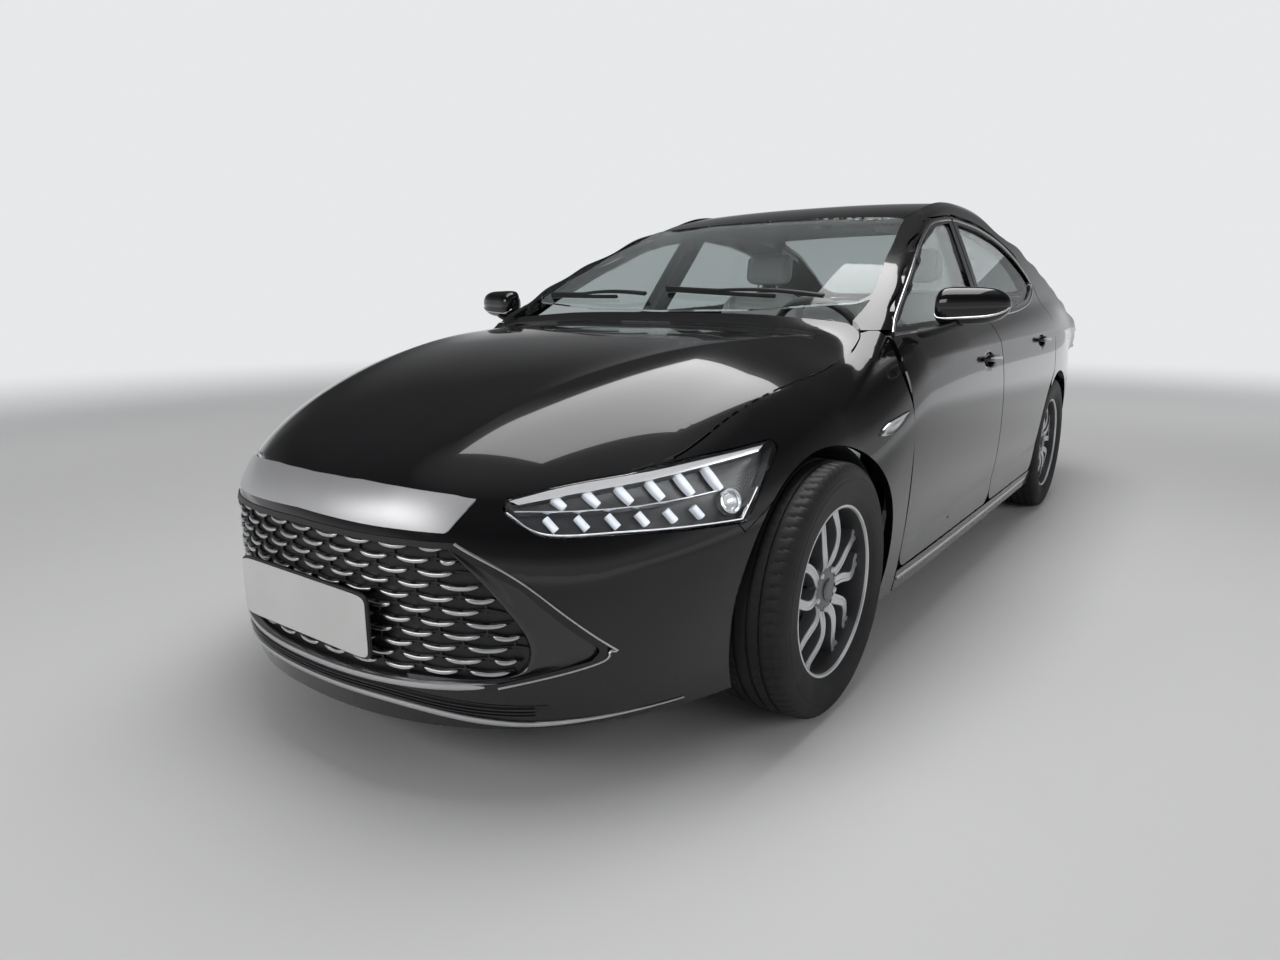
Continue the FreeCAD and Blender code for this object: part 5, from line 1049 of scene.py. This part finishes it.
mirror_glass = made_of("mirror_glass", (0.80, 0.82, 0.84), 0.01, 0.0, 0.03, Metallic=1.0, Roughness=0.02)
arm_black = made_of("arm_black", (0.014, 0.014, 0.015), 0.0010, 0.25, 0.2, Roughness=0.45)
for side, sign in SIDES:
    door = "door_front_" + side
    base = mirror_head(sign)
    fit(welded(surface("mirror_cap_" + side, base, wrap_cols=True)), body_black, door, "mirror_" + side)

    low = np.argsort(np.abs(base[20, :, 2] - (MIRROR_Z - 0.030)) + 10 * (base[20, :, 0] < MIRROR_X))[0]
    line = base[2:-1, low]
    swell = 0.3 + 0.7 * np.sin(np.linspace(0.15, 3.0, len(line))) ** 0.5
    trim("mirror_line_" + side, [carry(line, np.tile([0.85, 0.1 * sign, -0.5], (len(line), 1)),
                                       crowned(0.008, 0.003, sink=0.004), swell)], bright_trim, door)

    a = np.linspace(0, 2 * np.pi, 40, endpoint=False)
    rim = np.stack([np.full(40, GLASS_X), sign * (GLASS_Y + GLASS_WIDE * squared(np.cos(a), 0.7)),
                    MIRROR_Z + 0.003 + GLASS_HIGH * squared(np.sin(a), 0.7)], -1)
    middle, share = rim.mean(0), np.linspace(0.0, 1.0, 16)[:, None, None]
    bowl = middle + (rim - middle) * share + share * (1 - share) * np.array([-0.002, 0, 0])
    fit(welded(facing(surface("mirror_glass_" + side, bowl, wrap_cols=True), (-1, 0, 0))), mirror_glass, door)

    t = np.linspace(0, 1, 14)
    arm = np.stack([MIRROR_X + 0.010 + 0.006 * t, sign * (0.846 + 0.110 * t), 0.962 + 0.020 * t + 0.012 * t ** 2], -1)
    trim("mirror_arm_" + side, [carry(arm, np.tile([0.0, 0.0, 1.0], (14, 1)), ring_section(18, 0.046, 0.015),
                                      1.1 - 0.3 * t)], arm_black, door, 60)

    for place, x, z in HANDLES:
        t = np.linspace(-1, 1, 36)
        path = on_side(np.stack([x + HANDLE_HALF * t, z + 0.004 + 0.004 * t], -1), sign)
        up = out_of(whole_skin, path)
        path = path + up * (HANDLE_SINK + HANDLE_BOW * (1 - t ** 6))[:, None]
        handle = strips("handle_" + place + "_" + side, [carry(path, up, ring_section(20, 0.0130, 0.0075, 0.7),
                                                              0.35 + 0.65 * (1 - np.abs(t) ** 5) ** 0.5)])
        fit(handle, body_black, "door_" + place + "_" + side)
        blade = carry(path[3:-3] + up[3:-3] * 0.0062, up[3:-3], crowned(0.0085, 0.0026, sink=0.003))
        trim("handle_blade_" + place + "_" + side, [blade], bright_trim, "door_" + place + "_" + side)

# --- Seats --------------------------------------------------------------------------------------
# Foam cushions on steel frames, covered in pale grey hide with sewn channels across the middle and
# raised bolsters beside them. Head rests stand on two steel posts.
def block_grid(n, roundness):
    """Points over a cube's six faces, n squares along each, drawn in to |x|^r + |y|^r + |z|^r = 1, and their quads."""
    t = np.linspace(-1, 1, n + 1)
    a, b = np.meshgrid(t, t, indexing="ij")
    points, faces = [], []
    for axis in range(3):
        for end in (-1, 1):
            face = np.empty((n + 1, n + 1, 3))
            face[..., axis], face[..., (axis + 1) % 3], face[..., (axis + 2) % 3] = end, a * end, b
            faces.append(grid_faces(n + 1, n + 1) + len(points) * (n + 1) ** 2)
            points.append(face.reshape(-1, 3))
    p = np.vstack(points)
    return p / ((np.abs(p) ** roundness).sum(1) ** (1 / roundness))[:, None], np.vstack(faces)


def outward(thing):
    """Turn all faces of a closed surface to look out."""
    return reworked(thing, lambda shell: bmesh.ops.recalc_face_normals(shell, faces=shell.faces))


def placed(name, points, faces, middle, axes, size):
    """Closed block from points in its own axes, with its middle, size and axes (along, across, out) given."""
    axes = np.array(axes, float)
    axes /= np.linalg.norm(axes, axis=1)[:, None]
    return outward(welded(make_mesh(name, np.array(middle) + (points * (np.array(size) / 2)) @ axes, faces)))


def cushion(name, middle, axes, size, channels=5, bolster=0.66, roundness=5.0, lift=0.30):
    """Rounded block: crowned, with channels pressed across its middle panel, bolsters raised beside a sewn line,
    and sides that pull in between the corners."""
    p, faces = block_grid(26, roundness)
    x, y, z = p.T
    top = smooth_step(z, 0.2, 0.8)
    panel = 1 - smooth_step(np.abs(y), bolster - 0.05, bolster + 0.05)
    groove = (0.5 + 0.5 * np.cos(np.pi * (x + 1) * channels)) ** 10 * panel * smooth_step(0.92 - np.abs(x), 0, 0.1)
    seam = np.exp(-((np.abs(y) - bolster) / 0.035) ** 2)
    z = z * (0.84 + 0.16 * (1 - x ** 2) * (1 - y ** 2))
    z = z + top * (lift * (1 - panel) * (1 - x ** 4) - 0.11 * groove - 0.16 * seam)
    y = y * (1 - 0.035 * (1 - x ** 2))
    x = x * (1 - 0.03 * (1 - y ** 2))
    return placed(name, np.stack([x, y, z], -1), faces, middle, axes, size)


def straight(start, end, count):
    """Evenly spaced points from one place to another."""
    t = np.linspace(0, 1, count)[:, None]
    return np.array(start) * (1 - t) + np.array(end) * t


hide = made_of("pale_hide", (0.40, 0.40, 0.40), 0.0012, 0.45, 0.12, Roughness=0.48, Specular_IOR_Level=0.4,
               Sheen_Weight=0.08)
carpet = made_of("carpet", (0.035, 0.035, 0.037), 0.0020, 0.9, 0.3, Roughness=0.95, Sheen_Weight=0.3)
SEAT_Y, POST_Y = 0.370, 0.055
POST_FOOT, POST_TOP = (-0.512, 1.070), (-0.535, 1.165)
SEAT_AXES = ((1, 0, 0.05), (0, 1, 0), (-0.05, 0, 1))
BACK_AXES = ((-0.33, 0, 1.0), (0, -1, 0), (1, 0, 0.33))
REST_AXES = ((-0.12, 0, 1), (0, -1, 0), (1, 0, 0.12))
REAR_SEAT_AXES = ((1, 0, 0.04), (0, 1, 0), (-0.04, 0, 1))
REAR_BACK_AXES = ((-0.26, 0, 1), (0, -1, 0), (1, 0, 0.26))
CUSHION_FILL, REST_FILL = 0.8, 0.9
soft_pieces = []
for side, sign in SIDES:
    y = SEAT_Y * sign
    soft_pieces += [
        (cushion("seat_cushion_" + side, (-0.075, y, 0.385), SEAT_AXES, (0.51, 0.49, 0.17)), CUSHION_FILL),
        (cushion("seat_back_" + side, (-0.398, y, 0.765), BACK_AXES, (0.70, 0.46, 0.115), channels=6), CUSHION_FILL),
        (cushion("head_rest_" + side, (-0.540, y, 1.208), REST_AXES, (0.155, 0.25, 0.090), channels=1, bolster=0.85,
                 roundness=4.0, lift=0.0), REST_FILL)]
    posts = [carry(straight((POST_FOOT[0], y + dy, POST_FOOT[1]), (POST_TOP[0], y + dy, POST_TOP[1]), 6),
                   np.tile([1.0, 0, 0], (6, 1)), ring_section(14, 0.006, 0.006)) for dy in (-POST_Y, POST_Y)]
    fit(strips("head_rest_posts_" + side, posts), bright_trim, "root")
rear_cushion = cushion("rear_cushion", (-0.945, 0, 0.478), REAR_SEAT_AXES, (0.50, 1.09, 0.10), bolster=0.86)
rear_back = cushion("rear_back", (-1.165, 0, 0.765), REAR_BACK_AXES, (0.60, 1.07, 0.105), channels=6, bolster=0.86)
for piece, fill in soft_pieces + [(rear_cushion, CUSHION_FILL), (rear_back, CUSHION_FILL)]:
    fit(piece, hide, "root")
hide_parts("front_seats")
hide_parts("rear_bench")

BASE = np.array([(-1.0, -1.0), (-1.0, 0.6), (-0.8, 1.0), (0.8, 1.0), (1.0, 0.6), (1.0, -1.0)])
PLINTHS = ((SEAT_Y, -0.29, 0.13, 0.257, 0.19, 0.043), (-SEAT_Y, -0.29, 0.13, 0.257, 0.19, 0.043),
           (0.0, -1.180, -0.720, 0.445, 0.50, 0.001))
plinths = [carry(straight((x0, y, z), (x1, y, z), 4), np.tile([0, 0, 1.0], (4, 1)), BASE * (wide, tall))
           for y, x0, x1, z, wide, tall in PLINTHS]
trim("seat_bases", plinths, carpet, "root")

# --- Dashboard and steering wheel ---------------------------------------------------------------
# A foam-backed skin over a moulded frame, with a dark glass display in the middle and a cluster
# ahead of the driver. The steering wheel has a hide-covered rim, three spokes and a soft hub.
dash_skin = made_of("dash_skin", (0.020, 0.020, 0.022), 0.0015, 0.5, 0.15, Roughness=0.62)
display_glass = made_of("display_glass", (0.006, 0.007, 0.009), 0.01, 0.0, 0.1, Roughness=0.06, Coat_Weight=0.5)
black_hide = made_of("black_hide", (0.016, 0.016, 0.017), 0.0012, 0.45, 0.15, Roughness=0.50)
paint_with(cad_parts["dashboard"], dash_skin)


def slab_block(name, middle, axes, size, roundness=9.0, steps=14):
    """Softly rounded block for screens and housings."""
    return placed(name, *block_grid(steps, roundness), middle, axes, size)


SCREEN_AXES = ((0, 1, 0), (-0.30, 0, 1), (-1, 0, -0.30))
for name, middle, axes, size, roundness, stuff in (
        ("centre_display", (0.628, 0.0, 0.900), SCREEN_AXES, (0.300, 0.180, 0.016), 9.0, display_glass),
        ("driver_display", (0.660, SEAT_Y, 0.955), SCREEN_AXES, (0.280, 0.085, 0.014), 9.0, display_glass),
        ("dash_hood", (0.700, SEAT_Y, 0.962), SEAT_AXES, (0.150, 0.340, 0.060), 4.0, dash_skin)):
    fit(slab_block(name, middle, axes, size, roundness), stuff, "root")

COLUMN_LEAN = np.radians(24)
HUB = np.array([0.480, SEAT_Y, 0.900])
COLUMN = np.array([np.cos(COLUMN_LEAN), 0, -np.sin(COLUMN_LEAN)])
UPWARD = np.array([np.sin(COLUMN_LEAN), 0, np.cos(COLUMN_LEAN)])
LEFTWARD = np.array([0, 1.0, 0])
RIM_R, RIM_THICK = 0.175, 0.0145
SPOKE_IN, SPOKE_OUT = 0.045, 0.168
a = np.linspace(0, 2 * np.pi, 96, endpoint=False)[:, None]
b = np.linspace(0, 2 * np.pi, 20, endpoint=False)[None]
reach = RIM_R + RIM_THICK * np.cos(b)
wheel_rim = (HUB + (reach * np.cos(a))[..., None] * UPWARD + (reach * np.sin(a))[..., None] * LEFTWARD
             + (RIM_THICK * np.sin(b) * (1 + 0 * a))[..., None] * COLUMN)
rim_hide = outward(welded(surface("steering_rim", wheel_rim, wrap_rows=True, wrap_cols=True)))
fit(rim_hide, black_hide, "steering_wheel", "steering_wheel")
fit(slab_block("steering_hub", HUB - COLUMN * 0.004, (UPWARD, LEFTWARD, COLUMN), (0.125, 0.150, 0.046), 3.2),
    dash_skin, "steering_wheel")
SPOKE = np.array([(-1, -0.5), (-0.8, 0.5), (0.8, 0.5), (1, -0.5)]) * (0.016, 0.014)
t = np.linspace(SPOKE_IN, SPOKE_OUT, 8)[:, None]
spokes = [carry(HUB + way * t, np.tile(-COLUMN, (8, 1)), SPOKE) for way in (LEFTWARD, -LEFTWARD, -UPWARD)]
trim("steering_spokes", spokes, satin, "steering_wheel")

# --- Tail lamps and rear trim -------------------------------------------------------------------
# Red polycarbonate lenses with raised light guides that carry a faint painted glow, joined by a slim
# red bar across the boot lid, over black bezels. The bumper carries two reflectors and a black lower panel with a
# bright line.
lens_red = made_of("lens_red", (0.30, 0.004, 0.006), 0.004, 0.02, 0.25, Roughness=0.06, Coat_Weight=1.0,
                   Coat_Roughness=0.02, Specular_IOR_Level=0.5)
# The light guides' faint red emission is a painted glow that lifts them above their own red.
guide_red = made_of("guide_red", (0.55, 0.012, 0.012), 0.002, 0.05, 0.15, Roughness=0.3,
                    Emission_Color=(0.9, 0.02, 0.02, 1), Emission_Strength=0.12)
for part, body in (("tail_lamps", "root"), ("boot_lamp", "boot_lid")):
    fit(skinned("lens_" + part, part, lower_body, lay=False), lens_red, body, part)

FAN_MIDDLE, FAN_HALF, FAN_RAYS = -1.5, 1.25, 700
GUIDE_ROWS, GUIDE = (0.822, 0.842, 0.862, 0.882), crowned(0.0050, 0.0020)
GUIDE_SPANS = (("boot_lid", -0.588, 0.588), ("root", 0.616, 0.735), ("root", -0.735, -0.616))
BEZEL_DEPTH, BEZEL_WALL = 0.0035, 0.0020
BEZELS = (("left", 0.604, 0.850, 0.690, 0.925), ("right", -0.850, -0.604, 0.690, 0.925),
          ("middle", -0.620, 0.620, 0.680, 0.796))


def round_tail(z, first, last, count):
    """Level line on the tail's skin between two widths, found by rays that fan out from inside."""
    turn = np.linspace(-FAN_HALF, FAN_HALF, FAN_RAYS)
    fan = hit(lower_body, (FAN_MIDDLE, 0, z), np.stack([-np.cos(turn), np.sin(turn), 0 * turn], -1))
    wanted = np.linspace(first, last, count)
    return np.stack([np.interp(wanted, fan[:, 1], fan[:, k]) for k in range(3)], -1)


def level_tail(first, last, z, count, depth=0.0):
    """Level line on the tail's skin, some depth under it."""
    return on_end(np.stack([np.linspace(first, last, count), np.full(count, z)], -1), depth, -1)


guides = {"boot_lid": [], "root": []}
for z in GUIDE_ROWS:
    for body, first, last in GUIDE_SPANS:
        guides[body].append(bead(lower_body, round_tail(z, first, last, 60), GUIDE))
for body, runs in guides.items():
    trim("light_guides_" + body, runs, guide_red, body)
for label, first, last, low, high in BEZELS:
    rows = np.array([round_tail(z, first, last, 60) for z in np.linspace(low, high, 14)])
    bezel = facing(surface("tail_bezel_" + label, rows - out_of(lower_body, rows) * BEZEL_DEPTH), (-1, 0, 0))
    fit(walled(bezel, "wall", BEZEL_WALL), lattice_black, "root")
trim("boot_line", [bead(lower_body, level_tail(-0.560, 0.560, 0.9180, 90), crowned(0.010, 0.004))], bright_trim,
     "boot_lid")

APRON_HALF, APRON_TOP, APRON_FOOT = 0.480, 0.355, 0.205
y = np.linspace(-APRON_HALF, APRON_HALF, 70)
top = APRON_TOP + 0.020 * (y / APRON_HALF) ** 4
apron = [on_end(np.stack([y * (1 - 0.04 * share), top + (APRON_FOOT - top) * share], -1), -proud, -1)
         for share, proud in ((0.0, 0.0), (0.0, 0.0015), (0.1, 0.0040), (0.9, 0.0040), (1.0, 0.0015), (1.0, 0.0))]
fit(sharpened(facing(surface("rear_apron", np.array(apron)), (-1, 0, 0))), lattice_black, "root")
trim("rear_apron_line", [bead(lower_body, level_tail(-0.50, 0.50, 0.362, 90, -0.001), crowned(0.011, 0.005))], satin,
     "root")
reflectors = [bead(lower_body, level_tail(0.555 * sign, 0.700 * sign, 0.430, 30, -0.001), crowned(0.026, 0.004))
              for _, sign in SIDES]
trim("rear_reflectors", reflectors, lens_red, "root")

# --- Blank plates and wipers --------------------------------------------------------------------
# Pressed blank plates on black holders at the nose and on the rear bumper. Two wiper arms with
# rubber blades rest low on the windscreen.
plate_white = made_of("plate_white", (0.70, 0.70, 0.69), 0.01, 0.02, 0.06, Roughness=0.35)
PLATE = (0.480, 0.140)
for name, middle, out in (("front", (2.3905, 0.0, 0.392), (1, 0, 0.0)), ("rear", (-2.3915, 0.0, 0.590), (-1, 0, 0.02))):
    up = np.cross(out, (0, 1.0, 0))
    up = up / np.linalg.norm(up) * (1 if up[2] > 0 else -1)
    out = np.array(out) / np.linalg.norm(out)
    for label, grow, lift, thick, stuff, finish in (("holder_", 0.010, -0.006, 0.008, arm_black, "gloss_black"),
                                                    ("plate_", 0.000, 0.000, 0.003, plate_white, "paint")):
        fit(slab_block(label + name, np.array(middle) + out * lift, ((0, 1, 0), up, out),
                       (PLATE[0] + grow, PLATE[1] + grow, thick), roundness=14.0, steps=20), stuff, "root")

WIPERS = (((0.872, 0.560), (0.842, -0.060)), ((0.884, -0.120), (0.838, -0.620)))
WIPER_BOW, ARM_LOW, ARM_ARCH, BLADE_START = 0.012, 0.014, 0.010, 8
arms, blades = [], []
for pivot, tip in WIPERS:
    t = np.linspace(0, 1, 30)
    flat = straight(pivot, tip, 30)
    flat[:, 0] += WIPER_BOW * np.sin(np.pi * t)
    path = hit(greenhouse, np.stack([flat[:, 0], flat[:, 1], np.full(30, 0.60)], -1), (0, 0, 1.0))
    up = out_of(greenhouse, path)
    height = ARM_LOW + ARM_ARCH * np.sin(np.pi * np.clip(t * 1.6, 0, 1))
    arms.append(carry(path + up * height[:, None], up, crowned(0.014, 0.008, sink=0.003), 1.1 - 0.55 * t))
    path, up = path[BLADE_START:], up[BLADE_START:]
    blades.append(carry(path + up * 0.002, up, crowned(0.010, 0.009, sink=0.003)))
trim("wiper_arms", arms, arm_black, "root")
trim("wiper_blades", blades, rubber, "root")

# --- Underside, running gear and cabin linings --------------------------------------------------
# Painted and waxed steel below, moulded felt in the wheel arches, bare cast iron hubs and brakes,
# and carpet on the floor and the parcel shelf.
underseal = made_of("underseal", (0.030, 0.030, 0.031), 0.0040, 0.6, 0.3, Roughness=0.75)
felt = made_of("arch_felt", (0.016, 0.016, 0.017), 0.0030, 0.7, 0.3, Roughness=0.95)
cast_iron = made_of("cast_iron", (0.30, 0.30, 0.30), 0.0020, 0.25, 0.35, Metallic=0.9, Roughness=0.42)
block_grey = made_of("engine_grey", (0.16, 0.16, 0.165), 0.0030, 0.4, 0.3, Metallic=0.6, Roughness=0.55)
for part, stuff in (("floor_pan", carpet), ("wheel_arch_liners", felt), ("front_carrier", underseal),
                    ("rear_axle", cast_iron), ("knuckle_left", cast_iron), ("knuckle_right", cast_iron),
                    ("engine_block", block_grey), ("parcel_shelf", carpet)):
    paint_with(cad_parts[part], stuff)
